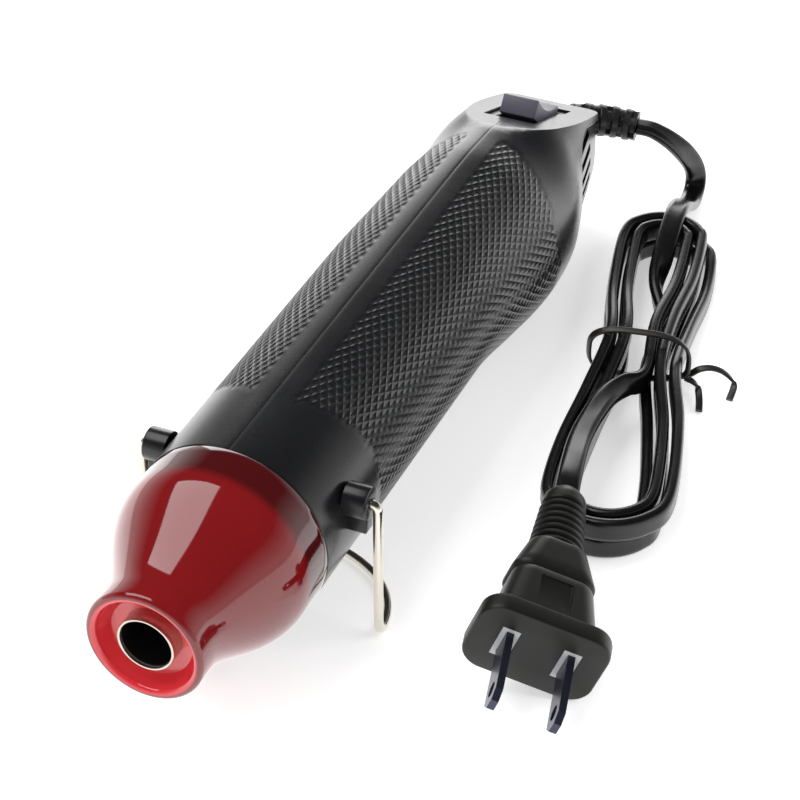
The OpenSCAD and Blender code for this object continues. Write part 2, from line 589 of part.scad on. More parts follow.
// Plug, lying on its flange with its relief over the hank's lower bends
plug_at = [61, 43.5, 12.2];            // middle of its face
plug_yaw = 13.5;
plug_pitch = 5;                        // how much its tail is up
plug_roll = -20.5;
module at_plug() translate([plug_at[0], plug_at[1] - mid_y, plug_at[2]])
    rotate([0, 0, plug_yaw]) rotate([plug_pitch - 90, 0, 0]) rotate([0, 0, -plug_roll]) children();
module slab(w, h, r, t = 1) linear_extrude(t) union() {
    square([w - 2 * r, h], center = true);
    square([w, h - 2 * r], center = true);
    for (x = [-1, 1], y = [-1, 1]) translate([x * (w / 2 - r), y * (h / 2 - r)]) circle(r, $fn = 32);
}
plug_neck = 27;                        // where the plug's relief starts, from its face
plug_len = 45;
relief_step = 0.48;                    // a quarter of the ribs' pitch
module plug_body() color("#1c1c1e") at_plug() difference() {
    union() {
        slab(plug_w, plug_h, 5, 4.4);
        hull() {
            translate([0, 0, 4]) slab(plug_w - 6.4, plug_h - 4, 4);
            translate([0, 0, 16]) slab(plug_w - 10, plug_h - 5.5, 4);
        }
        hull() {
            translate([0, 0, 16.8]) slab(plug_w - 9.4, plug_h - 6.1, 4);
            translate([0, 0, plug_neck - 1]) slab(plug_w - 14.4, plug_h - 7.5, 4);
        }
        translate([0, 0, plug_neck]) scale([1.1, 1, 1]) rotate_extrude($fn = 48) polygon(concat(
            [[0, -0.5], [5.3, -0.5]],
            [for (i = [0:6], q = [0:3]) let (z = (i * 4 + q) * relief_step)
                [(5.3 - z * 0.07) * (q < 2 ? 1 : 0.87), z]],
            [[4.3, 28 * relief_step], [4.1, 16], [3.4, 17.3], [2.9, plug_len - plug_neck],
                [0, plug_len - plug_neck]]));
    }
    // panel in the upper side
    translate([-3.4, -plug_h / 2, 7]) cube([6.8, 3.1, 7.6]);
    for (s = [-1, 1]) translate([s * blade_gap / 2, 0, -1]) {
        translate([-insert_w / 2, -insert_h / 2, 0]) cube([insert_w, insert_h, 1 + insert_t]);
        translate([-blade_t / 2 - 0.05, -blade_w / 2 - 0.05, 0]) cube([blade_t + 0.1, blade_w + 0.1, 10]);
    }
}
insert_w = 3.9;
insert_h = 8.3;
insert_t = 1.2;
blade_cut = 1.8;                       // corners cut off a blade's tip
module plug_blades() color("#3c4250") at_plug() for (s = [-1, 1])
    translate([s * blade_gap / 2, 0, -blade_len]) difference() {
        translate([-blade_t / 2, 0, 0]) rotate([90, 0, 90]) linear_extrude(blade_t)
            polygon([for (q = [-1, 1]) each let (e = q * blade_w / 2, c = q * (blade_w / 2 - blade_cut),
                side = [[e, blade_len + 8.8], [e, blade_cut], [c, 0]]) q < 0 ? side : [side[2], side[1], side[0]]]);
        translate([-2, 0, 3.6]) rotate([0, 90, 0]) cylinder(d = 3.2, h = 4);
    }
module plug_inserts() color("#c8c8ca") at_plug() for (s = [-1, 1])
    translate([s * blade_gap / 2, 0, 0]) difference() {
        translate([-insert_w / 2 + 0.1, -insert_h / 2 + 0.1, 0.1]) cube([insert_w - 0.2, insert_h - 0.2, insert_t - 0.15]);
        translate([-blade_t / 2 - 0.05, -blade_w / 2 - 0.05, -1]) cube([blade_t + 0.1, blade_w + 0.1, 10]);
    }

// Last stretch of the cord: over the hank and down to the plug's relief
function from_plug(d) = let (q = (plug_len + d) * cos(plug_pitch)) [plug_at[0] - q * sin(plug_yaw),
    plug_at[1] - mid_y + q * cos(plug_yaw), plug_at[2] + (plug_len + d) * sin(plug_pitch)];
tail_mid = [[46.2, 135, 10.6], [44.8, 127, 12.3], [44.8, 118, 13.2], [45.6, 109, 14.2], [47.4, 100, 15.6]];
module cord_tail() color("#141416") sweep(concat([hank_path[len(hank_path) - 1]],
    [for (p = tail_mid) world(p)], [from_plug(5), from_plug(0)]), cord_r, 8, [1, 0.2, 0], 1.5);

// Tie: once round the hank's waist, crossed, with both ends free beside it
tie_r = tie_d / 2;
tie_w = 10.8;                          // half width of the ring
tie_h = 2 * layer_step + 2 * tie_d + 0.2;
tie_ring = [for (i = [0:22]) let (a = -25 + 15 * i) [(tie_w + 0.6) * power(cos(a), 3),
    -0.9 + 2.2 * i / 22, tie_h / 2 + (tie_h / 2 - tie_r - sit) * power(sin(a), 3)]];
tie_low = [[15.1, -9.1, 0.9], [14.7, -5.4, 1.5], [14, -2.6, 2.4], [12.6, -1.4, 3.2]];
tie_up = [[11.6, 1.2, 3.2], [13.7, 1.3, 4.8], [16.1, 1.8, 5.2], [18.6, 2, 4.6], [20.8, 1.4, 3.4],
    [21.9, 0.2, 2.2], [21.3, -3.6, 0.9]];
module cord_tie() color("#1c1815") translate([tie_at[0], tie_at[1] - mid_y, 0])
    rotate([0, 0, hank_turn]) sweep(concat(tie_low, tie_ring, tie_up), tie_r, 6, [-1, 1, 0.3]);

right_shell();
left_shell();
nozzle_shroud();
outlet_tube();
mica_tube();
heater_cross();
heater_coil();
heater_disc();
thermal_cutout();
fan_duct();
fan_rotor();
motor_shaft();
motor_can();
motor_end_cap();
rectifier_board();
rectifier_diodes();
switch_housing();
switch_rocker();
switch_terminals();
case_screws();
stand_bail();
cord_clamp();
cord_boot();
cord_lead();
cord_hank();
cord_tail();
cord_tie();
plug_body();
plug_blades();
plug_inserts();
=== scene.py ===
"""Looks of a hand-held embossing heat tool: its handle, shroud, stand, switch, cord, hank and plug."""

import math

import bmesh
import bpy
from mathutils import Matrix, Vector


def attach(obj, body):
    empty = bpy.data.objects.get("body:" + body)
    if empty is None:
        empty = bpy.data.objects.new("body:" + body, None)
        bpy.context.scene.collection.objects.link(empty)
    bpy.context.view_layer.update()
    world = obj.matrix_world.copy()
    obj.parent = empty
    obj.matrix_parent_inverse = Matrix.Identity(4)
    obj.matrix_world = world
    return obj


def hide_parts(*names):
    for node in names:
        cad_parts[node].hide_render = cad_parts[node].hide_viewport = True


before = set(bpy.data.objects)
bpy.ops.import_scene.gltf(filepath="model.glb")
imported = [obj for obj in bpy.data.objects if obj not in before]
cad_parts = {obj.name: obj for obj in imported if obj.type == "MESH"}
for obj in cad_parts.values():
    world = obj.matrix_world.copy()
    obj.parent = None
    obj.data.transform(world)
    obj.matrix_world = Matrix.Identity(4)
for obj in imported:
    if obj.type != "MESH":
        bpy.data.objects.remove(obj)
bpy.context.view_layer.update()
bpy.context.scene.view_settings.view_transform = "Standard"

# Camera
# It stands in front of the nozzle, above it and to its right, and looks down along the barrel
# through a long lens. Its place was fitted on the photograph's outlines.
MM = 0.001
LENS, SENSOR = 117, 36
CAMERA_AT = (187.17, -412.06, 349.2)
CAMERA_TURN = ((0.9150, -0.2407, 0.3239), (0.4035, 0.5455, -0.7346), (0.0, 0.8028, 0.5962))
camera_data = bpy.data.cameras.new("camera")
camera_data.lens = LENS
camera_data.sensor_width = SENSOR
camera = bpy.data.objects.new("camera", camera_data)
bpy.context.scene.collection.objects.link(camera)
camera.matrix_world = Matrix.Translation(Vector(CAMERA_AT) * MM) @ Matrix(CAMERA_TURN).to_4x4()
bpy.context.scene.camera = camera

# Studio
# A white sweep under soft lamps: a wide one above, weaker ones at the side, front and back. The sky
# is white at the horizon and darker above, so that reflections in the black plastic stay dark.
FLOOR_SIZE = 6.0
FLOOR_WHITE = (0.9, 0.9, 0.9, 1)
FLOOR_ROUGHNESS = 0.9
FLOOR_GLOW = 0.46
FLOOR_SHINE = 0.3
SKY_FADE_FROM, SKY_FADE_TO = 0.1, 0.5
SKY_WHITE, SKY_DARK = 1.0, 0.06
SKY_LIGHT = 0.5
LAMP_AIM = Vector((0, 0, 0.02))
LAMPS = (
    ("key_lamp", (-0.62, -0.05, 1.30), 1.1, 15),
    ("side_lamp", (1.1, 0.2, 0.9), 0.8, 7),
    ("front_lamp", (-0.2, -1.3, 0.8), 0.7, 5),
    ("back_lamp", (-0.5, 1.4, 0.25), 0.9, 9),
)
LAMPS_IN_GLOSS = ("key_lamp", "back_lamp")


def give(tree, entry, value):
    """Sets a socket to a plain value, or links another node's output to it."""
    if isinstance(value, bpy.types.NodeSocket):
        tree.links.new(value, entry)
    else:
        entry.default_value = value


def add(tree, kind, **values):
    """A shader node with some inputs given by name."""
    node = tree.nodes.new(kind)
    for label, value in values.items():
        give(tree, node.inputs[label.replace("_", " ")], value)
    return node


def reckoned(tree, operation, *terms):
    """The result of a math node."""
    node = tree.nodes.new("ShaderNodeMath")
    node.operation = operation
    for entry, term in zip(node.inputs, terms):
        give(tree, entry, term)
    return node.outputs[0]


def seen_directly(tree):
    """A factor that is 1 for what the camera, gloss and glass see, and 0 for diffuse light."""
    path = tree.nodes.new("ShaderNodeLightPath")
    return reckoned(tree, "SUBTRACT", 1.0, path.outputs["Is Diffuse Ray"])


world = bpy.data.worlds.new("studio")
bpy.context.scene.world = world
world.use_nodes = True
tree = world.node_tree
sky = tree.nodes["Background"]
sky.inputs["Color"].default_value = (1, 1, 1, 1)
toward = tree.nodes.new("ShaderNodeTexCoord")
height = add(tree, "ShaderNodeSeparateXYZ", Vector=toward.outputs["Generated"])
dusk = add(tree, "ShaderNodeMapRange", Value=height.outputs["Z"], From_Min=SKY_FADE_FROM,
    From_Max=SKY_FADE_TO, To_Min=SKY_WHITE, To_Max=SKY_DARK)
strength = add(tree, "ShaderNodeMapRange", Value=seen_directly(tree), To_Min=SKY_LIGHT,
    To_Max=dusk.outputs["Result"])
tree.links.new(strength.outputs["Result"], sky.inputs["Strength"])

for lamp_name, place, lamp_size, power in LAMPS:
    lamp_data = bpy.data.lights.new(lamp_name, "AREA")
    lamp_data.size = lamp_size
    lamp_data.energy = power
    lamp = bpy.data.objects.new(lamp_name, lamp_data)
    lamp.visible_glossy = lamp_name in LAMPS_IN_GLOSS
    lamp.visible_camera = False
    bpy.context.scene.collection.objects.link(lamp)
    aim = (LAMP_AIM - Vector(place)).to_track_quat("-Z", "Y").to_matrix().to_4x4()
    lamp.matrix_world = Matrix.Translation(place) @ aim

floor_mesh = bpy.data.meshes.new("floor")
bm = bmesh.new()
bmesh.ops.create_grid(bm, x_segments=1, y_segments=1, size=FLOOR_SIZE / 2)
bm.to_mesh(floor_mesh)
bm.free()
floor = bpy.data.objects.new("floor", floor_mesh)
bpy.context.scene.collection.objects.link(floor)
floor_paint = bpy.data.materials.new("white_sweep")
floor_paint.use_nodes = True
tree = floor_paint.node_tree
matte = tree.nodes["Principled BSDF"]
matte.inputs["Base Color"].default_value = FLOOR_WHITE
matte.inputs["Roughness"].default_value = FLOOR_ROUGHNESS
path = tree.nodes.new("ShaderNodeLightPath")
shine = reckoned(tree, "MULTIPLY", path.outputs["Is Glossy Ray"], FLOOR_SHINE)
glow = add(tree, "ShaderNodeEmission",
    Strength=reckoned(tree, "MULTIPLY_ADD", seen_directly(tree), FLOOR_GLOW, shine))
both = tree.nodes.new("ShaderNodeAddShader")
tree.links.new(matte.outputs[0], both.inputs[0])
tree.links.new(glow.outputs[0], both.inputs[1])
tree.links.new(both.outputs[0], tree.nodes["Material Output"].inputs["Surface"])
floor_mesh.materials.append(floor_paint)

# Mains cord
# A flat two-core cord of soft black plastic, drawn out of the boot in one length. It folds on
# the table, runs down the middle of its own hank and ends in the plug's relief.
TOOL_LEN = 210
REAR_Y = TOOL_LEN / 2
CORD_W, CORD_T = 5.2, 2.8
CORD_GROOVE = 0.16
SIT = 0.05
LEAD_ROUTE = ((17.4, 222.2, 22.4), (20.8, 223.2, 21.8), (24.4, 224.8, 19.4), (27.2, 227, 16),
    (28.9, 229.6, 12.2), (29.8, 231.8, 8.6), (30.3, 232.4, 5.6), (30.7, 231, 3.4), (31.1, 228, 2.5),
    (31.6, 224, 3), (32.2, 219, 5.4), (32.8, 213.2, 8.8), (33.8, 206.4, 11), (35, 198, 10.8),
    (36.4, 189, 9), (38, 180, 6.4))
LEAD_WIDE = ((-0.25, 1, 0), (-0.1, 1, 0), (0.1, 1, 0), (0.3, 0.95, 0), (0.5, 0.85, 0), (0.7, 0.7, 0),
    (0.85, 0.5, 0), (0.95, 0.25, 0), (1, 0.1, 0), (1, 0, 0), (1, 0, 0), (1, 0, 0), (1, 0, 0), (1, 0, 0),
    (0.8, 0, -0.5), (0.3, 0, -1))
TAIL_MID = ((46.2, 135, 10.6), (44.8, 127, 12.3), (44.8, 118, 13.2), (45.6, 109, 14.2), (47.4, 100, 15.6))
TAIL_WIDE = ((0.6, 0, -0.8), (1, 0.1, -0.3), (1, 0, 0), (1, 0, 0), (1, 0, 0), (1, 0, -0.2), (1, 0, -0.3))
TIE_AT = (44, 151)
TIE_D = 1.6
HANK_TURN = math.radians(12)
HANK_TURNS, HANK_STEP = 4, 3.4
HANK_TOP, HANK_LOW = 46, 51
BEND_TOP, BEND_LOW, BEND_ARC = 5, 7, 52
WAIST, WAIST_LEN, HUMP_LEN = 0.7, 22, 14
LAYER_STEP = CORD_W + 0.6
LAYER_CLIMB = 16
HANK_START, HANK_END = 74, HANK_TURNS * 360 + 96
RING_STEP = 15
PLUG_AT = (61, 43.5, 12.2)
PLUG_YAW, PLUG_PITCH, PLUG_ROLL = math.radians(13.5), math.radians(5), math.radians(-20.5)
PLUG_LEN = 45


def finish_mesh(bm, name, material, smooth=35, merge=0.00001):
    """Turns a bmesh in millimetres, in the row's frame, into a shaded object in metres."""
    bmesh.ops.scale(bm, vec=(MM, MM, MM), verts=bm.verts)
    if merge:
        bmesh.ops.remove_doubles(bm, verts=bm.verts, dist=merge * MM)
    mesh = bpy.data.meshes.new(name)
    bm.to_mesh(mesh)
    bm.free()
    mesh.materials.append(material)
    mesh.shade_smooth()
    if smooth:
        mesh.set_sharp_from_angle(angle=math.radians(smooth))
    obj = bpy.data.objects.new(name, mesh)
    bpy.context.scene.collection.objects.link(obj)
    return obj


def grain_group():
    """Fine moulded grain and handling marks: gives a height, a wear mask and a roughness."""
    group = bpy.data.node_groups.new("moulded_grain", "ShaderNodeTree")
    face = group.interface
    for label, value in (("Grain Size", 3000.0), ("Patch Size", 60.0), ("Roughness", 0.5), ("Spread", 0.08)):
        face.new_socket(label, in_out="INPUT", socket_type="NodeSocketFloat").default_value = value
    for label in ("Height", "Patches", "Roughness"):
        face.new_socket(label, in_out="OUTPUT", socket_type="NodeSocketFloat")
    enter = group.nodes.new("NodeGroupInput").outputs
    leave = group.nodes.new("NodeGroupOutput").inputs
    place = group.nodes.new("ShaderNodeTexCoord").outputs["Object"]
    grain = add(group, "ShaderNodeTexNoise", Vector=place, Scale=enter["Grain Size"], Detail=3.0,
        Roughness=0.6)
    patch = add(group, "ShaderNodeTexNoise", Vector=place, Scale=enter["Patch Size"], Detail=5.0,
        Roughness=0.55)
    centred = reckoned(group, "SUBTRACT", patch.outputs["Fac"], 0.5)
    spread = reckoned(group, "MULTIPLY_ADD", centred, enter["Spread"], enter["Roughness"])
    group.links.new(grain.outputs["Fac"], leave["Height"])
    group.links.new(patch.outputs["Fac"], leave["Patches"])
    group.links.new(spread, leave["Roughness"])
    return group


moulded_grain = grain_group()


def tinted(tree, under, mask, colour):
    """Lays a colour over another, which is plain or comes from a node, where a mask is 1."""
    mix = tree.nodes.new("ShaderNodeMix")
    mix.data_type = "RGBA"
    give(tree, mix.inputs["A"], under)
    mix.inputs["B"].default_value = (*colour, 1)
    tree.links.new(mask, mix.inputs["Factor"])
    return mix.outputs["Result"]


def moulded(name, colour, lighter, roughness, grain_size=3000.0, bump=0.1, spread=0.1, **extra):
    """A moulded plastic or rubber with fine grain, faint patches of gloss and colour."""
    material = bpy.data.materials.new(name)
    material.use_nodes = True
    tree = material.node_tree
    skin = tree.nodes["Principled BSDF"]
    marks = tree.nodes.new("ShaderNodeGroup")
    marks.node_tree = moulded_grain
    marks.inputs["Grain Size"].default_value = grain_size
    marks.inputs["Roughness"].default_value = roughness
    marks.inputs["Spread"].default_value = spread
    bumps = add(tree, "ShaderNodeBump", Strength=bump, Distance=0.0001, Height=marks.outputs["Height"])
    patched = tinted(tree, (*colour, 1), marks.outputs["Patches"], lighter)
    tree.links.new(patched, skin.inputs["Base Color"])
    tree.links.new(marks.outputs["Roughness"], skin.inputs["Roughness"])
    tree.links.new(bumps.outputs["Normal"], skin.inputs["Normal"])
    for label, value in extra.items():
        skin.inputs[label.replace("_", " ")].default_value = value
    return material


def from_rim(point):
    """A point given as x, distance from the nozzle's rim and height, in the row's frame."""
    return Vector((point[0], point[1] - REAR_Y, point[2]))


def in_hank(across, along, height):
    """A point given across and along the hank, from the tie."""
    turn = Matrix.Rotation(HANK_TURN, 3, "Z")
    return from_rim((*TIE_AT, 0)) + turn @ Vector((across, along, height))


def hank_point(phi):
    """A point of the hank at an angle wound: out in the lower layer, in again on top."""
    reach = HANK_END - HANK_START
    turn = (phi - HANK_START) / reach * 2 - 1
    grow = HANK_STEP * reach / 720 * (1 - abs(turn))
    lean = abs((phi + 180) % 360 - 180)
    low = lean > 90
    lean = 180 - lean if low else lean
    bend = math.radians(min(1, lean / BEND_ARC) * 90)
    run = max(0, (lean - BEND_ARC) / (90 - BEND_ARC))
    middle = (HANK_TOP - HANK_LOW) / 2
    start = -HANK_LOW + (HANK_LOW + middle) * run if low else HANK_TOP - (HANK_TOP - middle) * run
    width = BEND_LOW + (BEND_TOP - BEND_LOW) * (start + HANK_LOW) / (HANK_TOP + HANK_LOW)
    drawn = WAIST * math.exp(-((start / WAIST_LEN) ** 2))
    along = start + (-1 if low else 1) * (width + grow) * math.cos(bend)
    side = math.copysign(1, math.sin(math.radians(phi)))
    across = side * math.sin(bend) * (width * (1 - drawn) + grow)
    climb = max(0, min(1, turn * LAYER_CLIMB + 0.5))
    hump = (TIE_D + 0.2) * math.exp(-((along / HUMP_LEN) ** 2))
    return in_hank(across, along, CORD_W / 2 + SIT + climb * LAYER_STEP + hump)


def from_plug(distance):
    """A point behind the plug, on its axis."""
    flat = (PLUG_LEN + distance) * math.cos(PLUG_PITCH)
    rise = (PLUG_LEN + distance) * math.sin(PLUG_PITCH)
    return from_rim((PLUG_AT[0] - flat * math.sin(PLUG_YAW), PLUG_AT[1] + flat * math.cos(PLUG_YAW),
        PLUG_AT[2] + rise))


def through(points, steps=8):
    """A smooth line through points, a cubic spline with some steps between each two."""
    ends = [points[0] * 2 - points[1], *points, points[-1] * 2 - points[-2]]
    line = []
    for a, b, c, d in zip(ends, ends[1:], ends[2:], ends[3:]):
        for i in range(steps):
            t = i / steps
            line.append(0.5 * (2 * b + (c - a) * t + (2 * a - 5 * b + 4 * c - d) * t**2
                + (3 * b - a - 3 * c + d) * t**3))
    return line + [points[-1]]


def lofted(rings, name, material, smooth=35, capped=True):
    """Draws a ring and extrudes it again and again, each time onto the next ring's places."""
    bm = bmesh.new()
    row = [bm.verts.new(p) for p in rings[0]]
    edges = [bm.edges.new((a, b)) for a, b in zip(row, row[1:] + row[:1])]
    if capped:
        bmesh.ops.contextual_create(bm, geom=edges)
    for ring in rings[1:]:
        grown = bmesh.ops.extrude_edge_only(bm, edges=edges)["geom"]
        fresh = {g for g in grown if isinstance(g, bmesh.types.BMVert)}
        edges = [g for g in grown if isinstance(g, bmesh.types.BMEdge) and set(g.verts) <= fresh]
        row = [next(e.other_vert(v) for e in v.link_edges if e.other_vert(v) in fresh) for v in row]
        for vert, place in zip(row, ring):
            vert.co = place
    if capped:
        bmesh.ops.contextual_create(bm, geom=edges)
    bmesh.ops.recalc_face_normals(bm, faces=bm.faces)
    return finish_mesh(bm, name, material, smooth, merge=0)


def swept(line, wides, section):
    """Rings along a line, of one section or of what a function gives for each ring."""
    rings = []
    for i, (point, wide) in enumerate(zip(line, wides)):
        ahead = (line[min(i + 1, len(line) - 1)] - line[max(i - 1, 0)]).normalized()
        thin = ahead.cross(wide).normalized()
        wide = thin.cross(ahead)
        shape = section(i) if callable(section) else section
        rings.append([point + wide * p[0] + thin * p[1] for p in shape])
    return rings


def flat_section(width, height, waist, sides=20):
    """A two-core section: two round lobes with a shallow groove between them."""
    points = []
    for i in range(sides):
        a = 2 * math.pi * i / sides
        x = math.copysign(abs(math.cos(a)) ** 0.7, math.cos(a)) * width / 2
        y = math.copysign(abs(math.sin(a)) ** 0.62, math.sin(a)) * height / 2
        y *= 1 - waist * math.exp(-((x / (width * 0.13)) ** 2))
        points.append((x, y))
    return points


cord_plastic = moulded("cord_plastic", (0.003, 0.003, 0.0032), (0.005, 0.005, 0.0054), 0.26,
    grain_size=1800.0, bump=0.06, spread=0.12, Specular_IOR_Level=0.4)
hank_steps = round((HANK_END - HANK_START) / RING_STEP)
hank = [hank_point(HANK_START + i * (HANK_END - HANK_START) / hank_steps) for i in range(hank_steps + 1)]
lead = [from_rim(p) for p in LEAD_ROUTE]
tail = [from_rim(p) for p in TAIL_MID] + [from_plug(5), from_plug(0)]
cord_line = through(lead + hank + tail)
cord_wide = through([Vector(w) for w in (*LEAD_WIDE, *((0, 0, -1),) * len(hank), *TAIL_WIDE)])
cord_rings = swept(cord_line, cord_wide, flat_section(CORD_W, CORD_T, CORD_GROOVE))
cord = lofted(cord_rings, "mains_cord", cord_plastic, smooth=60)
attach(cord, "tool")
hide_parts("cord_lead", "cord_hank", "cord_tail")

# Handle shells
# Two mirrored halves of black moulded plastic, 2.2 mm thick, that meet on the mid-plane. A grip
# of fine crossed ribs lies on each side, and a stepped tail with five vent slots closes the rear.
AXIS_H = 27.5
BARREL_R = 20.4
SHELL_WALL = 2.2
SHROUD_LEN = 36.8
SEAT = 0.15
TAIL_LEN, TAIL_STEP = 26, 0.9
FACET_TILT = math.radians(20.4)
FACET_BACK, FACET_RISE = 18, 11
EDGE_R, HOOD_LIP, REAR_R = 10, 1.6, 3.5
ROUND_COLUMNS = 136
FACET_COLUMNS, LIP_COLUMNS = 24, 26
ROUND_ENDS, TAIL_STARTS = 167.5, 175.5
SEAM_HALF, SEAM_SINK = 0.03, 0.07
FRONT_TUCK = 0.988
RIB_ALONG, RIB_DEPTH = 3.6, 0.16
GRIP_FROM, GRIP_ROWS = 54.6, 125
GRIP_FRONT, GRIP_REAR = 61.5, 160
FRONT_BOW, REAR_BOW = 5.5, 5.2
GRIP_TOP, GRIP_LOW = 77, -60
SIDE_GROW = ((-92, 0), (-70, 0.2), (-55, 0.4), (-44, 0.1), (-34, -0.9), (-26, -3), (-18, -4.5),
    (-8, -6.4), (0, -7.6))
TOP_GROW = ((-92, 0), (-56, -0.1), (-44, -0.8), (-34, -1.5), (0, -1.5))
BULGE = ((-92, 0), (-80, 0.15), (-68, 0.45), (-56, 0.77), (-46, 0.96), (-39, 1), (-32, 0.96), (-26, 0.88),
    (-18, 0.68), (-6, 0.44), (0, 0.32))
WIDE_Y = ((-92, 0), (-70, -2.5), (-56, -4), (-40, -5), (0, -5))
ROUND_UP = ((-92, 2), (-56, 1.9), (-42, 1.85), (-30, 2.3), (0, 2.3))
ROUND_LOW = ((-92, 2), (-70, 2.2), (-50, 2.3), (0, 2.4))
BOOT_Y, BOOT_R = -3.5, 4.6
SLOTS, SLOT_H, SLOT_PITCH, SLOT_LEN = 5, 2, 3.9, 14
LOWEST_SLOT = -12
RECESS_W, RECESS_LEN = 13.8, 23.6
BOSS_BACK, BOSS_RISE, BOSS_D = 48.5, 6.3, 7
BOSS_BORE_R, WEB_HALF = 1.1, 1.6
LEG_GAP, WIRE_D = 51.4, 2
BOSS_OUT = LEG_GAP / 2 - WIRE_D / 2 - 0.4
AT_SWITCH = (Matrix.Translation((0, REAR_Y - FACET_BACK, AXIS_H + FACET_RISE))
    @ Matrix.Rotation(-FACET_TILT, 4, "X"))


def facet_y(st):
    """Height of the switch facet's plane above the axis."""
    return FACET_RISE - (st - (TOOL_LEN - FACET_BACK)) * math.tan(FACET_TILT)


def flow(knots, s):
    """A smooth value through pairs of station and value, level at both ends."""
    s = max(knots[0][0], min(knots[-1][0], s))
    i = max(j for j in range(len(knots) - 1) if knots[j][0] <= s)
    slopes = [0] + [(c[1] - a[1]) / (c[0] - a[0]) for a, c in zip(knots, knots[2:])] + [0]
    width = knots[i + 1][0] - knots[i][0]
    t = (s - knots[i][0]) / width
    return (knots[i][1] * (2 * t**3 - 3 * t**2 + 1) + slopes[i] * width * (t**3 - 2 * t**2 + t)
        + knots[i + 1][1] * (3 * t**2 - 2 * t**3) + slopes[i + 1] * width * (t**3 - t**2))


def arc(base, exponent):
    """A signed power, for a squared circle."""
    return math.copysign(abs(base) ** (2 / exponent), base)


def lip_edge(u):
    """Height of the tail's stepped edge: up the side in an arc, then along under the facet."""
    middle = -TAIL_LEN + EDGE_R
    start = facet_y(TOOL_LEN + middle) - HOOD_LIP - EDGE_R / math.cos(FACET_TILT)
    if u <= -TAIL_LEN:
        return start
    if u >= middle + EDGE_R * math.sin(FACET_TILT):
        return facet_y(TOOL_LEN + u) - HOOD_LIP
    return start + math.sqrt(max(0, EDGE_R**2 - (u - middle) ** 2))


def half_ring(st):
    """Half an outline of the shell at a station, from the top over the side to the bottom."""
    u = st - TOOL_LEN
    inset = 0 if u <= -REAR_R else REAR_R - math.sqrt(max(0, REAR_R**2 - (u + REAR_R) ** 2))
    centre = flow(WIDE_Y, u)
    wide = BARREL_R + flow(SIDE_GROW, u) - inset
    up = BARREL_R + flow(TOP_GROW, u) - centre - inset
    low = BARREL_R + (AXIS_H - BARREL_R) * flow(BULGE, u) + centre - inset
    n_up, n_low = flow(ROUND_UP, u), flow(ROUND_LOW, u)
    top = min(facet_y(st), centre + up - 0.01)
    lip = min(lip_edge(u), top - 0.4)
    step = TAIL_STEP if u > -TAIL_LEN + 0.001 else 0
    first = math.asin(((top - centre) / up) ** (n_up / 2))
    if lip > centre:
        second = math.asin(((lip - centre) / up) ** (n_up / 2))
    else:
        second = -math.asin(((centre - lip) / low) ** (n_low / 2))
    across = arc(math.cos(first), n_up)
    angles = [math.acos((i / FACET_COLUMNS * across) ** (n_up / 2)) for i in range(FACET_COLUMNS)]
    angles += [first + (second - first) * i / LIP_COLUMNS for i in range(LIP_COLUMNS + 1)]
    rest = ROUND_COLUMNS - FACET_COLUMNS - LIP_COLUMNS - 1
    third = second - math.radians(1.5)
    angles += [third - (math.pi / 2 + third) * i / rest for i in range(rest + 1)]
    faceted = max(0.0, min(1.0, (st - ROUND_ENDS) / (TAIL_STARTS - ROUND_ENDS)))
    ring = []
    for i, angle in enumerate(angles):
        angle = (1 - faceted) * (math.pi / 2 - math.pi * i / ROUND_COLUMNS) + faceted * angle
        less = step if i > FACET_COLUMNS + LIP_COLUMNS else 0
        n = n_up if angle >= 0 else n_low
        reach = up if angle >= 0 else low
        x = max(0, (wide - less) * arc(max(0, math.cos(angle)), n))
        y = min(facet_y(st), centre + (reach - less) * arc(math.sin(angle), n))
        ring.append((x, y, math.degrees(angle)))
    return ring


def in_grip(st, angle):
    """Whether a place lies in the ribbed grip, whose ends are bowed inwards."""
    front = GRIP_FRONT - FRONT_BOW * ((angle - 5) / 72) ** 2
    rear = GRIP_REAR + REAR_BOW * min(1, abs(angle - 11) / 55) ** 1.4
    return GRIP_LOW < angle < GRIP_TOP and front < st < rear


def shell_stations():
    """Stations of the outlines: close along the grip, the step and the rounded rear edge."""
    stations = [SHROUD_LEN + s for s in (0.06, 0.35, 2, 5, 8, 11, 13, 15, 16.6)]
    stations += [GRIP_FROM + RIB_ALONG / 4 * i for i in range(GRIP_ROWS)]
    stations += [168, 170, 172, 174, 176, 178, 180, 182, 183.6]
    edge = TOOL_LEN - TAIL_LEN
    stations += [edge, edge + 0.12]
    middle = edge + EDGE_R
    stations += [middle - EDGE_R * math.cos(math.radians(a)) for a in range(10, 96, 5)]
    stations += [middle + s for s in (1.6, 3.4, 5, 6.6, 8.2, 9.8, 11.4)]
    stations += [TOOL_LEN - REAR_R + REAR_R * math.sin(math.radians(a)) for a in range(0, 91, 9)]
    return stations


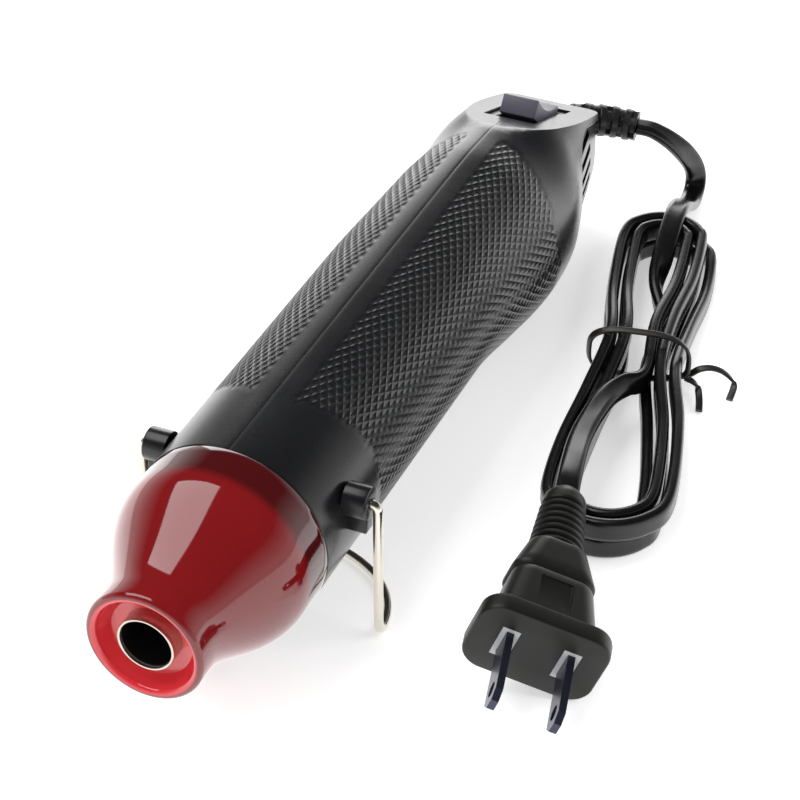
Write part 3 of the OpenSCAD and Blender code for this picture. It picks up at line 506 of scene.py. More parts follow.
def shell_skin(side):
    """One half's outer skin: a grid whose rows are outlines, with the grip's ribs raised in it."""
    stations = shell_stations()
    rows = len(stations) - 1
    rings = [half_ring(st) for st in stations]
    first = stations.index(GRIP_FROM)
    bm = bmesh.new()
    bmesh.ops.create_grid(bm, x_segments=ROUND_COLUMNS, y_segments=rows, size=0.5)
    sunk = {}
    for vert in bm.verts:
        i = round((vert.co.x + 0.5) * ROUND_COLUMNS)
        j = round((vert.co.y + 0.5) * rows)
        x, y, angle = rings[j][i]
        if first <= j < first + GRIP_ROWS and in_grip(stations[j], angle):
            u, v = (i + j - first) / 4, (i - j + first) / 4
            from_rib = min(abs(u - round(u)), abs(v - round(v))) * 4
            sunk[vert] = RIB_DEPTH * min(1, from_rib)
            x -= sunk[vert] * math.cos(math.radians(angle))
            y -= sunk[vert] * math.sin(math.radians(angle))
        if j == 0:
            x, y = x * FRONT_TUCK, y * FRONT_TUCK
        if i in (0, ROUND_COLUMNS):
            x = SEAM_HALF
            y -= SEAM_SINK if i == 0 else -SEAM_SINK
        vert.co = (side * x, stations[j] - REAR_Y, AXIS_H + y)
    for face in list(bm.faces):
        corners = list(face.verts)
        if all(v in sunk for v in corners):
            one, other = [sunk[corners[k]] + sunk[corners[k + 2]] for k in (0, 1)]
            if one != other:
                k = 0 if one < other else 1
                bmesh.utils.face_split(face, corners[k], corners[k + 2])
    rear = [v for v in bm.verts if abs(v.co.y - REAR_Y) < 0.001]
    bmesh.ops.contextual_create(bm, geom=rear)
    bmesh.ops.recalc_face_normals(bm, faces=bm.faces)
    if sum(f.normal.x * side * f.calc_area() for f in bm.faces) < 0:
        bmesh.ops.reverse_faces(bm, faces=bm.faces)
    return bm


def box_into(bm, low, high, round_off=0.3, turn=None):
    """Adds a box with rounded edges between two corners, turned by a matrix."""
    made = bmesh.ops.create_cube(bm, size=1)["verts"]
    bmesh.ops.scale(bm, vec=[b - a for a, b in zip(low, high)], verts=made)
    bmesh.ops.translate(bm, vec=[(a + b) / 2 for a, b in zip(low, high)], verts=made)
    if round_off:
        edges = list({e for v in made for e in v.link_edges})
        rounded = bmesh.ops.bevel(bm, geom=edges, offset=round_off, affect="EDGES", segments=3, profile=0.5,
            material=-1)
        made = list({v for f in rounded["faces"] for v in f.verts} | {v for v in made if v.is_valid})
    if turn:
        bmesh.ops.transform(bm, matrix=turn, verts=made)


def rod_into(bm, start, end, radius, sides=48):
    """Adds a round rod between two points."""
    start, end = Vector(start), Vector(end)
    way = end - start
    place = Matrix.Translation((start + end) / 2) @ way.to_track_quat("Z", "Y").to_matrix().to_4x4()
    bmesh.ops.create_cone(bm, cap_ends=True, segments=sides, radius1=radius, radius2=radius,
        depth=way.length, matrix=place)


def applied(obj, cutter=None, wall=0.0):
    """Gives an object its wall and its holes for good, and removes the cutter."""
    if wall:
        solid = obj.modifiers.new("wall", "SOLIDIFY")
        solid.thickness = wall * MM
        solid.offset = -1
        solid.use_even_offset = True
    if cutter:
        hole = obj.modifiers.new("holes", "BOOLEAN")
        hole.object = cutter
        hole.operation = "DIFFERENCE"
        hole.solver = "EXACT"
    bpy.context.view_layer.update()
    made = bpy.data.meshes.new_from_object(obj.evaluated_get(bpy.context.evaluated_depsgraph_get()))
    obj.modifiers.clear()
    obj.data = made
    if cutter:
        bpy.data.objects.remove(cutter)
    made.shade_smooth()
    made.set_sharp_from_angle(angle=math.radians(30))
    return obj


def boss_into(bm, side):
    """The stand's boss: a round stud with a chamfered face and the wire's hole, on a small web."""
    axis = (0, BOSS_BACK - REAR_Y, AXIS_H + BOSS_RISE)
    inner = BARREL_R - SHELL_WALL / 2
    profile = ((inner, BOSS_BORE_R), (inner, BOSS_D / 2), (BOSS_OUT - 0.5, BOSS_D / 2),
        (BOSS_OUT - 0.15, BOSS_D / 2 - 0.12), (BOSS_OUT, BOSS_D / 2 - 0.5), (BOSS_OUT, 1.5),
        (BOSS_OUT - 0.3, BOSS_BORE_R))
    row = [bm.verts.new((side * out, axis[1], axis[2] + r)) for out, r in profile]
    edges = [bm.edges.new((a, b)) for a, b in zip(row, row[1:] + row[:1])]
    bmesh.ops.spin(bm, geom=row + edges, cent=axis, axis=(1, 0, 0), angle=math.tau, steps=48,
        use_merge=True)
    near, far = sorted((side * (inner + 0.2), side * (BOSS_OUT - 0.4)))
    box_into(bm, (near, axis[1] - WEB_HALF, AXIS_H - 0.4), (far, axis[1] + WEB_HALF, axis[2] - WEB_HALF))


shell_plastic = moulded("shell_plastic", (0.0045, 0.0048, 0.0056), (0.008, 0.0084, 0.0095), 0.27,
    grain_size=2400.0, bump=0.12, spread=0.1, Specular_IOR_Level=0.4)
for shell_name, side in (("right_shell", 1), ("left_shell", -1)):
    hand = shell_name.split("_")[0]
    shell = finish_mesh(shell_skin(side), "handle_" + hand, shell_plastic, 30, merge=0.001)
    cuts = bmesh.new()
    near, far = sorted((side * 6, side * 26))
    slot_y = REAR_Y - TAIL_LEN + 1.5
    for i in range(SLOTS):
        low = AXIS_H + LOWEST_SLOT + i * SLOT_PITCH
        box_into(cuts, (near, slot_y, low), (far, slot_y + SLOT_LEN, low + SLOT_H), 0.45)
    box_into(cuts, (-RECESS_W / 2, -RECESS_LEN / 2, -8), (RECESS_W / 2, RECESS_LEN / 2, 8), 0.5, AT_SWITCH)
    rod_into(cuts, (0, REAR_Y - 8, AXIS_H + BOOT_Y), (0, REAR_Y + 8, AXIS_H + BOOT_Y), BOOT_R + SEAT)
    shell = applied(shell, finish_mesh(cuts, "cutter", shell_plastic), wall=SHELL_WALL)
    bm = bmesh.new()
    boss_into(bm, side)
    bmesh.ops.recalc_face_normals(bm, faces=bm.faces)
    stud = finish_mesh(bm, "stud", shell_plastic, 30, merge=0.001)
    bm = bmesh.new()
    bm.from_mesh(shell.data)
    bm.from_mesh(stud.data)
    bm.to_mesh(shell.data)
    bm.free()
    bpy.data.objects.remove(stud)
    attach(shell, "tool")
    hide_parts(shell_name)

# Red shroud
# One glossy moulding of clear red plastic. It flares from the rim to the barrel, and a dish inside
# the rim holds the steel outlet. The dish is painted a lighter red, painted light shining through the
# thin plastic, and the rear band a dark red, painted shade where the black spigot lies behind it.
RIM_R, LIP_R, SHROUD_WALL = 12.3, 1.1, 1.7
FLARE_FROM, FLARE_TO = 5.5, 29.5
DISH_DEPTH, DISH_T = 4.5, 1.5
TUBE_R, TUBE_WALL, TUBE_BACK = 5.4, 0.5, 1.0
# The rear band's dark red is painted shade, and the dish's lighter red is painted light.
SHADE_BAND_FROM, SHADE_BAND_TO = 27.5, 30.5
DISH_PAINTED_LIGHT, BAND_PAINTED_SHADE = (0.70, 0.035, 0.045), (0.055, 0.002, 0.003)


def shroud_r(st):
    """Outer radius of the shroud at a station."""
    t = max(0, min(1, (st - FLARE_FROM) / (FLARE_TO - FLARE_FROM)))
    return RIM_R + (BARREL_R - RIM_R) * (1 - math.cos(math.pi * t)) / 2


def turned(name, profile, material, steps=128, smooth=35):
    """A piece turned about the barrel's axis from a closed profile of radius and station."""
    bm = bmesh.new()
    row = [bm.verts.new((r, st - REAR_Y, AXIS_H)) for r, st in profile]
    edges = [bm.edges.new((a, b)) for a, b in zip(row, row[1:] + row[:1])]
    bmesh.ops.spin(bm, geom=row + edges, cent=(0, 0, AXIS_H), axis=(0, 1, 0), angle=math.tau,
        steps=steps, use_merge=True)
    bmesh.ops.remove_doubles(bm, verts=bm.verts, dist=0.0001)
    bmesh.ops.recalc_face_normals(bm, faces=bm.faces)
    return finish_mesh(bm, name, material, smooth, merge=0.001)


def from_axis(tree):
    """Distance from the barrel's axis and station from the rim, both in millimetres."""
    place = tree.nodes.new("ShaderNodeTexCoord").outputs["Object"]
    parts = add(tree, "ShaderNodeSeparateXYZ", Vector=place)
    flat = add(tree, "ShaderNodeMapping", Vector=place, Location=(0, 0, -AXIS_H), Scale=(1 / MM, 0, 1 / MM))
    length = tree.nodes.new("ShaderNodeVectorMath")
    length.operation = "LENGTH"
    tree.links.new(flat.outputs["Vector"], length.inputs[0])
    return length.outputs["Value"], reckoned(tree, "MULTIPLY_ADD", parts.outputs["Y"], 1 / MM, REAR_Y)


def fade(tree, value, low, high):
    """A mask that goes smoothly from 0 at one value to 1 at another, which may be the lesser."""
    rises = low < high
    ramp = add(tree, "ShaderNodeMapRange", Value=value, From_Min=min(low, high), From_Max=max(low, high),
        To_Min=0.0 if rises else 1.0, To_Max=1.0 if rises else 0.0)
    ramp.interpolation_type = "SMOOTHSTEP"
    return ramp.outputs["Result"]


red_plastic = moulded("red_plastic", (0.15, 0.0045, 0.006), (0.20, 0.006, 0.008), 0.07,
    grain_size=500.0, bump=0.015, spread=0.04, Coat_Weight=0.3, Coat_Roughness=0.03)
tree = red_plastic.node_tree
base = tree.nodes["Principled BSDF"].inputs["Base Color"]
radius, station = from_axis(tree)
# Painted shade: the rear band turns dark red towards the barrel, where the black spigot lies behind the
# plastic.
shade_banded = tinted(tree, base.links[0].from_socket, fade(tree, station, SHADE_BAND_FROM, SHADE_BAND_TO), BAND_PAINTED_SHADE)
# Painted light: the dish inside the rim is painted a lighter red, as if lit through the thin plastic.
dish = reckoned(tree, "MULTIPLY", fade(tree, radius, 11.4, 10.9), fade(tree, station, 6, 5))
tree.links.new(tinted(tree, shade_banded, dish, DISH_PAINTED_LIGHT), base)
bore = TUBE_R + TUBE_WALL + 0.02
profile = []
for a in range(0, 181, 12):
    a = math.radians(a)
    profile.append((RIM_R - LIP_R + LIP_R * math.cos(a), LIP_R - LIP_R * math.sin(a)))
for t in (0.12, 0.25, 0.4, 0.55, 0.7, 0.85):
    fall = math.sin(math.radians(78 * t)) / 0.98
    profile.append((RIM_R - 2 * LIP_R - 1.9 * t, LIP_R + (DISH_DEPTH - LIP_R) * fall))
profile += [(bore + 2, DISH_DEPTH), (bore, DISH_DEPTH), (bore, DISH_DEPTH + 4),
    (bore + 1.2, DISH_DEPTH + 4), (bore + 1.2, DISH_DEPTH + DISH_T)]
profile += [(shroud_r(st) - SHROUD_WALL, st) for st in [DISH_DEPTH + DISH_T + i for i in range(24)]]
profile += [(BARREL_R - SHROUD_WALL, FLARE_TO + 1), (BARREL_R - SHROUD_WALL, SHROUD_LEN),
    (BARREL_R - 0.3, SHROUD_LEN), (BARREL_R - 0.09, SHROUD_LEN - 0.09), (BARREL_R, SHROUD_LEN - 0.3)]
profile += [(BARREL_R, st) for st in (35, 33, 31)]
profile += [(shroud_r(FLARE_TO - i), FLARE_TO - i) for i in range(28)]
shroud = turned("shroud", profile, red_plastic, steps=144, smooth=50)
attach(shroud, "tool")
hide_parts("nozzle_shroud")

# Steel outlet
# A thin drawn tube that widens behind the shroud over the mica tube. Heat has browned its end, and
# its bore is painted black and matt, as painted shade inside the tube.
SLEEVE_R = 15.55
NECK_ST, WIDE_ST, SLEEVE_ST = SHROUD_LEN - 17, SHROUD_LEN - 4, SHROUD_LEN + 3
# The browned end is heat tint; the bore's black is painted shade.
BROWNED, BORE_PAINTED_SHADE = (0.50, 0.44, 0.38), (0.006, 0.006, 0.006)


def drawn_metal(name, colour, lighter, roughness, stretch=(1, 1, 1), metallic=1.0, bump=0.05):
    """Metal with fine drawing marks along one direction and faint stains."""
    material = bpy.data.materials.new(name)
    material.use_nodes = True
    tree = material.node_tree
    skin = tree.nodes["Principled BSDF"]
    skin.inputs["Metallic"].default_value = metallic
    place = tree.nodes.new("ShaderNodeTexCoord").outputs["Object"]
    along = add(tree, "ShaderNodeMapping", Vector=place, Scale=stretch)
    lines = add(tree, "ShaderNodeTexNoise", Vector=along.outputs["Vector"], Scale=2600.0, Detail=4.0)
    stain = add(tree, "ShaderNodeTexNoise", Vector=place, Scale=120.0, Detail=4.0)
    dull = add(tree, "ShaderNodeMapRange", Value=lines.outputs["Fac"], To_Min=roughness * 0.75,
        To_Max=roughness * 1.3)
    bumps = add(tree, "ShaderNodeBump", Strength=bump, Distance=0.00005, Height=lines.outputs["Fac"])
    stained = tinted(tree, (*colour, 1), stain.outputs["Fac"], lighter)
    tree.links.new(stained, skin.inputs["Base Color"])
    tree.links.new(dull.outputs["Result"], skin.inputs["Roughness"])
    tree.links.new(bumps.outputs["Normal"], skin.inputs["Normal"])
    return material


outlet_steel = drawn_metal("outlet_steel", (0.62, 0.61, 0.60), (0.72, 0.71, 0.69), 0.22,
    stretch=(1, 0.08, 1))
tree = outlet_steel.node_tree
skin = tree.nodes["Principled BSDF"]
base = skin.inputs["Base Color"]
radius, station = from_axis(tree)
# Painted shade: the bore is painted near black and made non-metallic.
inside = reckoned(tree, "MULTIPLY", fade(tree, radius, TUBE_R + 0.25, TUBE_R + 0.05),
    fade(tree, station, TUBE_BACK + 0.2, TUBE_BACK + 1))
browned = tinted(tree, base.links[0].from_socket, fade(tree, station, 9, 3), BROWNED)
tree.links.new(tinted(tree, browned, inside, BORE_PAINTED_SHADE), base)
tree.links.new(reckoned(tree, "SUBTRACT", 1.0, inside), skin.inputs["Metallic"])
tube_out = TUBE_R + TUBE_WALL
profile = [(TUBE_R + 0.1, TUBE_BACK), (tube_out - 0.1, TUBE_BACK), (tube_out, TUBE_BACK + 0.1)]
profile += [(tube_out, st) for st in (4, 8, 12, 16, NECK_ST)]
profile += [(SLEEVE_R + TUBE_WALL, WIDE_ST), (SLEEVE_R + TUBE_WALL, SLEEVE_ST), (SLEEVE_R, SLEEVE_ST),
    (SLEEVE_R, WIDE_ST + 0.2), (TUBE_R, NECK_ST + 0.2)]
profile += [(TUBE_R, st) for st in (16, 12, 8, 4, 2, TUBE_BACK + 0.1)]
outlet = turned("steel_outlet", profile, outlet_steel, steps=96)
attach(outlet, "tool")
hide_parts("outlet_tube")

# Heater
# A resistance coil round a cross of mica plates, inside a rolled mica tube. A mica disc closes its
# rear, and a small metal thermal cut-out rides in a corner of the cross.


def dress(material, *names):
    """Gives CAD nodes their finished material."""
    for node_name in names:
        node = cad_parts[node_name]
        node.data.materials.clear()
        node.data.materials.append(material)


mica = moulded("pressed_mica", (0.50, 0.42, 0.28), (0.66, 0.58, 0.42), 0.45, grain_size=900.0,
    bump=0.2, spread=0.15)
coil_wire = drawn_metal("coil_wire", (0.30, 0.27, 0.25), (0.42, 0.36, 0.32), 0.42)
plain_steel = drawn_metal("plain_steel", (0.55, 0.55, 0.56), (0.64, 0.64, 0.64), 0.32)
dress(mica, "mica_tube", "heater_cross", "heater_disc")
dress(coil_wire, "heater_coil")
dress(plain_steel, "thermal_cutout")

# Fan and motor
# A moulded duct holds a small brushed motor behind a seven-bladed fan. A rectifier board with four
# diodes sits on the motor's end cap.
duct_plastic = moulded("duct_plastic", (0.045, 0.045, 0.05), (0.06, 0.06, 0.066), 0.5, grain_size=1800.0)
fan_plastic = moulded("fan_plastic", (0.62, 0.61, 0.57), (0.70, 0.69, 0.65), 0.42, grain_size=1600.0,
    bump=0.06)
cap_plastic = moulded("cap_plastic", (0.72, 0.71, 0.66), (0.78, 0.77, 0.72), 0.5, grain_size=1600.0,
    bump=0.06)
board_laminate = moulded("board_laminate", (0.035, 0.22, 0.09), (0.05, 0.30, 0.12), 0.35, grain_size=1200.0)
diode_plastic = moulded("diode_plastic", (0.012, 0.012, 0.013), (0.02, 0.02, 0.021), 0.4, grain_size=2600.0)
motor_steel = drawn_metal("motor_steel", (0.50, 0.51, 0.53), (0.60, 0.61, 0.62), 0.3, stretch=(1, 0.1, 1))
shaft_steel = drawn_metal("shaft_steel", (0.60, 0.60, 0.61), (0.68, 0.68, 0.69), 0.2, stretch=(1, 0.1, 1))
dress(duct_plastic, "fan_duct")
dress(fan_plastic, "fan_rotor")
dress(cap_plastic, "motor_end_cap")
dress(board_laminate, "rectifier_board")
dress(diode_plastic, "rectifier_diodes")
dress(motor_steel, "motor_can")
dress(shaft_steel, "motor_shaft")

# Rocker switch
# A grey rocker with a hollowed top tilts in a black frame that is sunk a little in the facet. Two
# brass tabs stand under it.
ROCKER_W, ROCKER_LEN, ROCKER_RISE = 8.8, 17, 6.2
ROCKER_TILT = math.radians(12)
PIN_R, PIN_OUT = 0.9, 1.1
PIVOT_Z, BEZEL_DROP, SWITCH_DEPTH = -3.2, 0.6, 10
WELL_LEN, WELL_W = ROCKER_LEN + 2.8, ROCKER_W + 0.6


def slab_ring(at, width, height, corner, depth):
    """A rounded rectangle across a matrix's own Z axis, at a depth along it."""
    ring = []
    for cx, cy, first in ((1, 1, 0), (-1, 1, 90), (-1, -1, 180), (1, -1, 270)):
        for i in range(12):
            a = math.radians(first + 90 * i / 11)
            ring.append(at @ Vector((cx * (width / 2 - corner) + corner * math.cos(a),
                cy * (height / 2 - corner) + corner * math.sin(a), depth)))
    return ring


switch_black = moulded("switch_black", (0.008, 0.008, 0.009), (0.012, 0.012, 0.013), 0.3,
    grain_size=2600.0, bump=0.05)
body_w, body_len = RECESS_W - 1.6, RECESS_LEN - 1.6
bezel_w, bezel_len = RECESS_W - 2 * SEAT, RECESS_LEN - 2 * SEAT
ledge = -SHELL_WALL - 0.1
rings = [slab_ring(AT_SWITCH, *measures) for measures in (
    (body_w, body_len, 0.3, -SWITCH_DEPTH),
    (body_w, body_len, 0.3, ledge - 1.2),
    (RECESS_W + 2, RECESS_LEN + 2, 0.3, ledge - 1.2),
    (RECESS_W + 2, RECESS_LEN + 2, 0.3, ledge),
    (bezel_w, bezel_len, 0.4, ledge),
    (bezel_w, bezel_len, 0.4, -BEZEL_DROP - 0.3),
    (bezel_w - 0.18, bezel_len - 0.18, 0.4, -BEZEL_DROP - 0.09),
    (bezel_w - 0.6, bezel_len - 0.6, 0.4, -BEZEL_DROP),
    (WELL_W + 0.4, WELL_LEN + 0.4, 0.4, -BEZEL_DROP),
    (WELL_W, WELL_LEN, 0.3, -BEZEL_DROP - 0.2),
    (WELL_W, WELL_LEN, 0.3, -4),
    (WELL_W, WELL_LEN, 0.3, -SWITCH_DEPTH + 1.2),
)]
housing = lofted(rings, "switch_frame", switch_black, smooth=30)
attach(housing, "tool")
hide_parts("switch_housing")
half = ROCKER_LEN / 2
outline = [(-half, 1.8), (-half + 0.4, ROCKER_RISE)]
outline += [((half - 0.9) * t / 5, 4.5 + 1.65 * (t / 5) ** 2) for t in range(-5, 6)]
outline += [(half - 0.4, ROCKER_RISE), (half, 1.8), (3, 0.8), (3, -2.6), (-3, -2.6), (-3, 0.8)]
bm = bmesh.new()
row = [bm.verts.new((-ROCKER_W / 2, along, up)) for along, up in outline]
edges = [bm.edges.new((a, b)) for a, b in zip(row, row[1:] + row[:1])]
side_face = bmesh.ops.contextual_create(bm, geom=edges)["faces"]
grown = bmesh.ops.extrude_face_region(bm, geom=side_face)["geom"]
far_side = [g for g in grown if isinstance(g, bmesh.types.BMVert)]
bmesh.ops.translate(bm, vec=(ROCKER_W, 0, 0), verts=far_side)
bmesh.ops.recalc_face_normals(bm, faces=bm.faces)
corners = [e for e in bm.edges
    if all(v.co.z > 1 for v in e.verts) and e.calc_face_angle(0) > math.radians(30)]
bmesh.ops.bevel(bm, geom=corners, offset=0.3, affect="EDGES", segments=2, profile=0.5, material=-1)
rod_into(bm, (-ROCKER_W / 2 - PIN_OUT, 0, 0), (ROCKER_W / 2 + PIN_OUT, 0, 0), PIN_R, 24)
at_pivot = AT_SWITCH @ Matrix.Translation((0, 0, PIVOT_Z)) @ Matrix.Rotation(-ROCKER_TILT, 4, "X")
bmesh.ops.transform(bm, matrix=at_pivot, verts=bm.verts)
rocker_plastic = moulded("rocker_plastic", (0.060, 0.056, 0.082), (0.074, 0.070, 0.098), 0.45,
    grain_size=2800.0, bump=0.08)
rocker = finish_mesh(bm, "switch_rocker_cap", rocker_plastic, 30)
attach(rocker, "rocker")
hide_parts("switch_rocker")
brass_tabs = drawn_metal("brass_tabs", (0.72, 0.50, 0.20), (0.80, 0.60, 0.28), 0.28)
dress(brass_tabs, "switch_terminals")

# Case screws
# Two steel screws close the shells. Each goes in from the left and bites in a post of the right
# shell.
screw_steel = drawn_metal("screw_steel", (0.42, 0.42, 0.43), (0.50, 0.50, 0.51), 0.3)
dress(screw_steel, "case_screws")

# Wire stand
# One piece of nickel-plated wire. Its legs hook into the bosses and end in a bowed foot that lies on
# the table under the nozzle.
FOOT_CORNER_R, FOOT_BOW_R, BEND_R = 20, 30, 2.5
leg_x = LEG_GAP / 2
foot_z = WIRE_D / 2
top_z = AXIS_H + BOSS_RISE
bow_y = -math.sqrt((FOOT_BOW_R - FOOT_CORNER_R) ** 2 - (leg_x - FOOT_CORNER_R) ** 2)
bow_a = math.atan2(-bow_y, leg_x - FOOT_CORNER_R)
bend_z = foot_z + BEND_R
half_wire = [(BARREL_R - SHELL_WALL + 0.3, 0, top_z), (leg_x - 1.4, 0, top_z),
    (leg_x - 0.55, 0, top_z - 0.2), (leg_x - 0.15, 0, top_z - 0.6), (leg_x, 0, top_z - 1.4)]
half_wire += [(leg_x, 0, bend_z + (top_z - 1.4 - bend_z) * (1 - i / 8)) for i in range(1, 9)]
for a in range(15, 76, 15):
    a = math.radians(a)
    half_wire.append((leg_x, BEND_R - BEND_R * math.cos(a), bend_z - BEND_R * math.sin(a)))
corner_x = leg_x - FOOT_CORNER_R
corner_a = math.asin(BEND_R / FOOT_CORNER_R)
for i in range(15):
    a = corner_a + (bow_a - corner_a) * i / 14
    half_wire.append((corner_x + FOOT_CORNER_R * math.cos(a), FOOT_CORNER_R * math.sin(a), foot_z))
for i in range(1, 9):
    a = bow_a + (math.pi / 2 - bow_a) * i / 8
    half_wire.append((FOOT_BOW_R * math.cos(a), bow_y + FOOT_BOW_R * math.sin(a), foot_z))
wire = [Vector((x, y + BOSS_BACK - REAR_Y, z)) for x, y, z in half_wire]
wire += [Vector((-p.x, p.y, p.z)) for p in wire[-2::-1]]
nickel_wire = drawn_metal("nickel_wire", (0.53, 0.50, 0.43), (0.61, 0.58, 0.51), 0.16, bump=0.03)
turns = [math.tau * i / 20 for i in range(20)]
disc = [(WIRE_D / 2 * math.cos(a), WIRE_D / 2 * math.sin(a)) for a in turns]
wire_rings = swept(wire, [Vector((0.4, 1, 0.4))] * len(wire), disc)
stand = lofted(wire_rings, "wire_stand", nickel_wire, smooth=60)
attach(stand, "stand")
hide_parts("stand_bail")

# Cord boot
# A soft black sleeve that bends with the cord. Rings stand round it, joined by four bars that leave
# small square windows, and a flange holds it inside the rear wall.
BOOT_D, BOOT_RIBS, BOOT_FLANGE = 8.6, 7, 1.5
BOOT_SIDES, BOOT_TAPER = 48, 0.10
RING_EDGE, BAR_SUNK, WINDOW_SUNK = 0.15, 0.35, 1.4
BOOT_ROUTE = ((0, 205.6, 24), (0, 210.6, 24), (1.2, 214.4, 24), (4.6, 217.8, 23.7), (9, 220.2, 23.2),
    (13.2, 221.6, 22.7), (17.4, 222.2, 22.4))
boot_line = through([from_rim(p) for p in BOOT_ROUTE], steps=24)[24:]
spans = [0.0]
for one, other in zip(boot_line, boot_line[1:]):
    spans.append(spans[-1] + (other - one).length)
pitch = spans[-1] / BOOT_RIBS


def at_span(distance):
    """The point of the boot's line at a distance from the wall."""
    inside = max(0, min(spans[-1] - 0.001, distance))
    i = max(j for j in range(len(spans) - 1) if spans[j] <= inside)
    return boot_line[i].lerp(boot_line[i + 1], (distance - spans[i]) / (spans[i + 1] - spans[i]))


marks = []
for rib in range(BOOT_RIBS):
    for part, on_ring in ((0.0, True), (0.08, True), (0.5, True), (0.58, False), (0.92, False)):
        marks.append(((rib + part) * pitch, on_ring, rib))
marks.append((spans[-1], True, BOOT_RIBS - 1))


def boot_section(i):
    """A ring of the boot, or between two of its rings the core with its four bars."""
    distance, on_ring, rib = marks[i]
    full = BOOT_D / 2 * (1 - BOOT_TAPER * distance / spans[-1])
    edge = RING_EDGE if i % 5 in (0, 2) else 0
    shape = []
    for k in range(BOOT_SIDES):
        a = math.tau * k / BOOT_SIDES
        on_bar = abs(((k + (0 if rib % 2 else 6)) % 12) - 6) > 3
        less = edge if on_ring else BAR_SUNK if on_bar else WINDOW_SUNK
        shape.append(((full - less) * math.cos(a), (full - less) * math.sin(a)))
    return shape


boot_rubber = moulded("boot_rubber", (0.006, 0.006, 0.0062), (0.010, 0.010, 0.0105), 0.40,
    grain_size=2200.0, bump=0.08)
boot_rings = swept([at_span(m[0]) for m in marks], [Vector((0, 0, 1))] * len(marks), boot_section)
boot = lofted(boot_rings, "cord_boot_sleeve", boot_rubber, smooth=30)
wall_in = TOOL_LEN - SHELL_WALL - 0.1
bm = bmesh.new()
for start, end, radius in ((wall_in - BOOT_FLANGE, wall_in, BOOT_R + 1.4),
        (wall_in - 0.2, TOOL_LEN + 0.6, BOOT_R)):
    rod_into(bm, from_rim((0, start, AXIS_H + BOOT_Y)), from_rim((0, end, AXIS_H + BOOT_Y)), radius)
bm.transform(Matrix.Scale(MM, 4))
bm.from_mesh(boot.data)
bm.to_mesh(boot.data)
bm.free()
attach(boot, "tool")
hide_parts("cord_boot")
clamp_plastic = moulded("clamp_plastic", (0.09, 0.09, 0.10), (0.12, 0.12, 0.13), 0.5, grain_size=1800.0)
dress(clamp_plastic, "cord_clamp")

# Tie
# A strip of soft black plastic over a thin wire, once round the hank's waist and crossed, with both
# ends standing off beside it.
TIE_W, TIE_H = 10.8, 2 * LAYER_STEP + 2 * TIE_D + 0.2
TIE_HALF_T = 0.38
TIE_END_LOW = ((15.1, -9.1, 0.9), (14.7, -5.4, 1.5), (14, -2.6, 2.4), (12.6, -1.4, 3.2))
TIE_END_UP = ((11.6, 1.2, 3.2), (13.7, 1.3, 4.8), (16.1, 1.8, 5.2), (18.6, 2, 4.6), (20.8, 1.4, 3.4),
    (21.9, 0.2, 2.2), (21.3, -3.6, 0.9))
loop = []
for i in range(23):
    a = math.radians(-25 + 15 * i)
    up = TIE_H / 2 + (TIE_H / 2 - TIE_D / 2 - SIT) * arc(math.sin(a), 3)
    loop.append(((TIE_W + 0.6) * arc(math.cos(a), 3), -0.9 + 2.2 * i / 22, up))
tie_line = through([in_hank(*p) for p in (*TIE_END_LOW, *loop, *TIE_END_UP)], steps=4)
turns = [math.tau * i / 16 for i in range(16)]
strip = [(arc(math.cos(a), 4) * TIE_D / 2, arc(math.sin(a), 4) * TIE_HALF_T) for a in turns]
tie_plastic = moulded("tie_plastic", (0.008, 0.007, 0.006), (0.014, 0.012, 0.010), 0.4, grain_size=1500.0)
tie_rings = swept(tie_line, [Vector((-1, 1, 0.3))] * len(tie_line), strip)
tie = lofted(tie_rings, "cord_tie_strip", tie_plastic, smooth=50)
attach(tie, "tool")
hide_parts("cord_tie")

# Plug
# A moulded two-blade plug: a broad flange, two stepped blocks to grip, and a ribbed relief that
# takes the cord. Pale inserts surround the blades in its face.
PLUG_W, PLUG_H, PLUG_NECK = 27, 18.5, 27
RELIEF_RIBS, RELIEF_STEP = 7, 0.48
NOTCH_W, NOTCH_H, NOTCH_FROM, NOTCH_TO = 6.8, 3.1, 7, 14.6
BLADE_GAP, INSERT_W, INSERT_H, INSERT_T = 12.7, 3.9, 8.3, 1.2
AT_PLUG = (Matrix.Translation(from_rim(PLUG_AT)) @ Matrix.Rotation(PLUG_YAW, 4, "Z")
    @ Matrix.Rotation(PLUG_PITCH - math.pi / 2, 4, "X") @ Matrix.Rotation(-PLUG_ROLL, 4, "Z"))


def oval_ring(radius, depth):
    """An oval ring of the relief, with as many points as a rounded rectangle."""
    turns = [math.tau * i / 48 for i in range(48)]
    return [AT_PLUG @ Vector((1.1 * radius * math.cos(a), radius * math.sin(a), depth)) for a in turns]


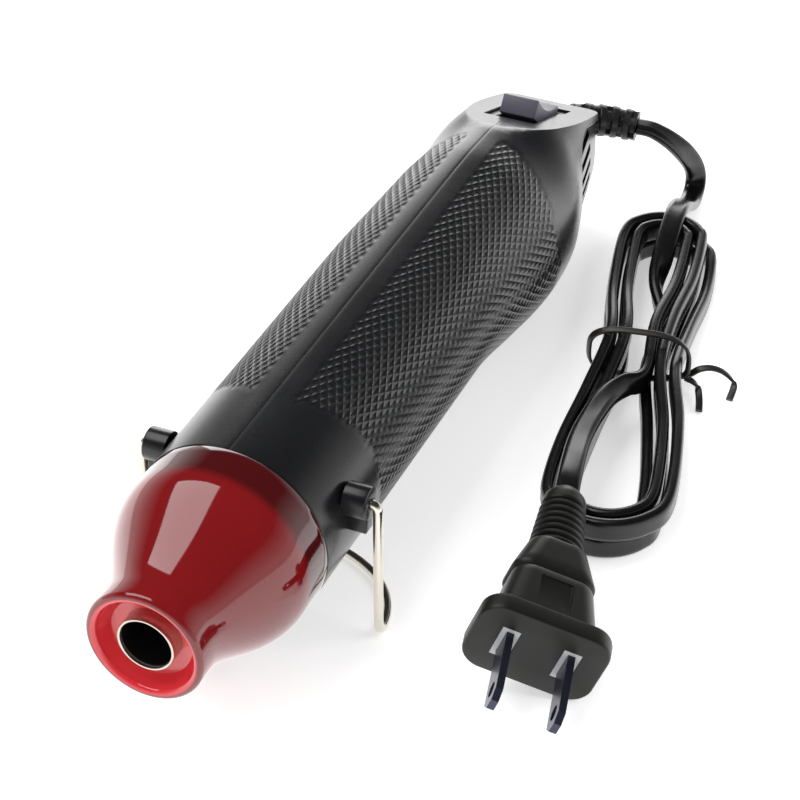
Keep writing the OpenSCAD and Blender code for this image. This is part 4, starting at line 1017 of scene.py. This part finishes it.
blocks = [(less, less, 5 - less / 2, depth) for less, depth in (
    (1.4, 0), (0.6, 0.15), (0.1, 0.5), (0, 0.8), (0, 3.4), (0.3, 4), (0.9, 4.3), (1.8, 4.4))]
blocks += [(5.4, 3, 4.4, 4.4), (6.2, 3.8, 4, 4.9)]
blocks += [(6.4 + 3.4 * t, 4 + 1.4 * t, 4, 5 + 11 * t) for t in (0, 0.3, 0.6, 0.9, 1)]
blocks += [(10.2, 5.9, 3.9, 16.6), (11.4, 7, 3.4, 16.95), (11, 7.2, 3.6, 17.2), (9.6, 6.4, 4, 17.8)]
blocks += [(9.4 + 4.6 * t, 6.1 + 1.2 * t, 4, 18.4 + 7.4 * t) for t in (0, 0.3, 0.6, 0.85, 1)]
blocks += [(14.6, 7.7, 3.7, 26.5), (15.4, 8.3, 3.4, 26.9)]
rings = [slab_ring(AT_PLUG, PLUG_W - less_w, PLUG_H - less_h, corner, depth)
    for less_w, less_h, corner, depth in blocks]
rings += [oval_ring(4.7, PLUG_NECK)]
for rib in range(RELIEF_RIBS):
    for part, sunk in ((0.3, 0), (0.8, 0), (1.7, 0), (2.2, 0.35), (2.5, 0.75), (3.6, 0.75), (3.9, 0.35)):
        depth = (rib * 4 + part) * RELIEF_STEP
        rings.append(oval_ring(5.3 - depth * 0.07 - sunk, PLUG_NECK + depth))
rings += [oval_ring(radius, depth) for radius, depth in (
    (4.25, 40.8), (4.15, 42.4), (3.95, 43.3), (3.55, 44), (3.1, 44.6), (2.9, PLUG_LEN))]
plug_plastic = moulded("plug_plastic", (0.0065, 0.0063, 0.0054), (0.010, 0.0098, 0.0084), 0.42,
    grain_size=1900.0, bump=0.1, spread=0.12, Specular_IOR_Level=0.28)
plug = lofted(rings, "plug_moulding", plug_plastic, smooth=32)
bm = bmesh.new()
box_into(bm, (-NOTCH_W / 2, -PLUG_H / 2, NOTCH_FROM), (NOTCH_W / 2, -PLUG_H / 2 + NOTCH_H, NOTCH_TO),
    turn=AT_PLUG)
for middle in (-BLADE_GAP / 2, BLADE_GAP / 2):
    box_into(bm, (middle - INSERT_W / 2, -INSERT_H / 2, -1), (middle + INSERT_W / 2, INSERT_H / 2, INSERT_T),
        0.1, AT_PLUG)
plug = applied(plug, finish_mesh(bm, "cutter", plug_plastic))
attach(plug, "tool")
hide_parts("plug_body")
# The blades' near-black, blue-tinted colour is a painted dark reflection of the surroundings, not the
# metal's own colour.
blade_painted_dark_reflection = drawn_metal("blade_painted_dark_reflection", (0.025, 0.028, 0.05), (0.05, 0.055, 0.085), 0.32, metallic=0.8)
insert_plastic = moulded("insert_plastic", (0.50, 0.51, 0.53), (0.58, 0.59, 0.61), 0.4,
    grain_size=2200.0, bump=0.05)
dress(blade_painted_dark_reflection, "plug_blades")
dress(insert_plastic, "plug_inserts")
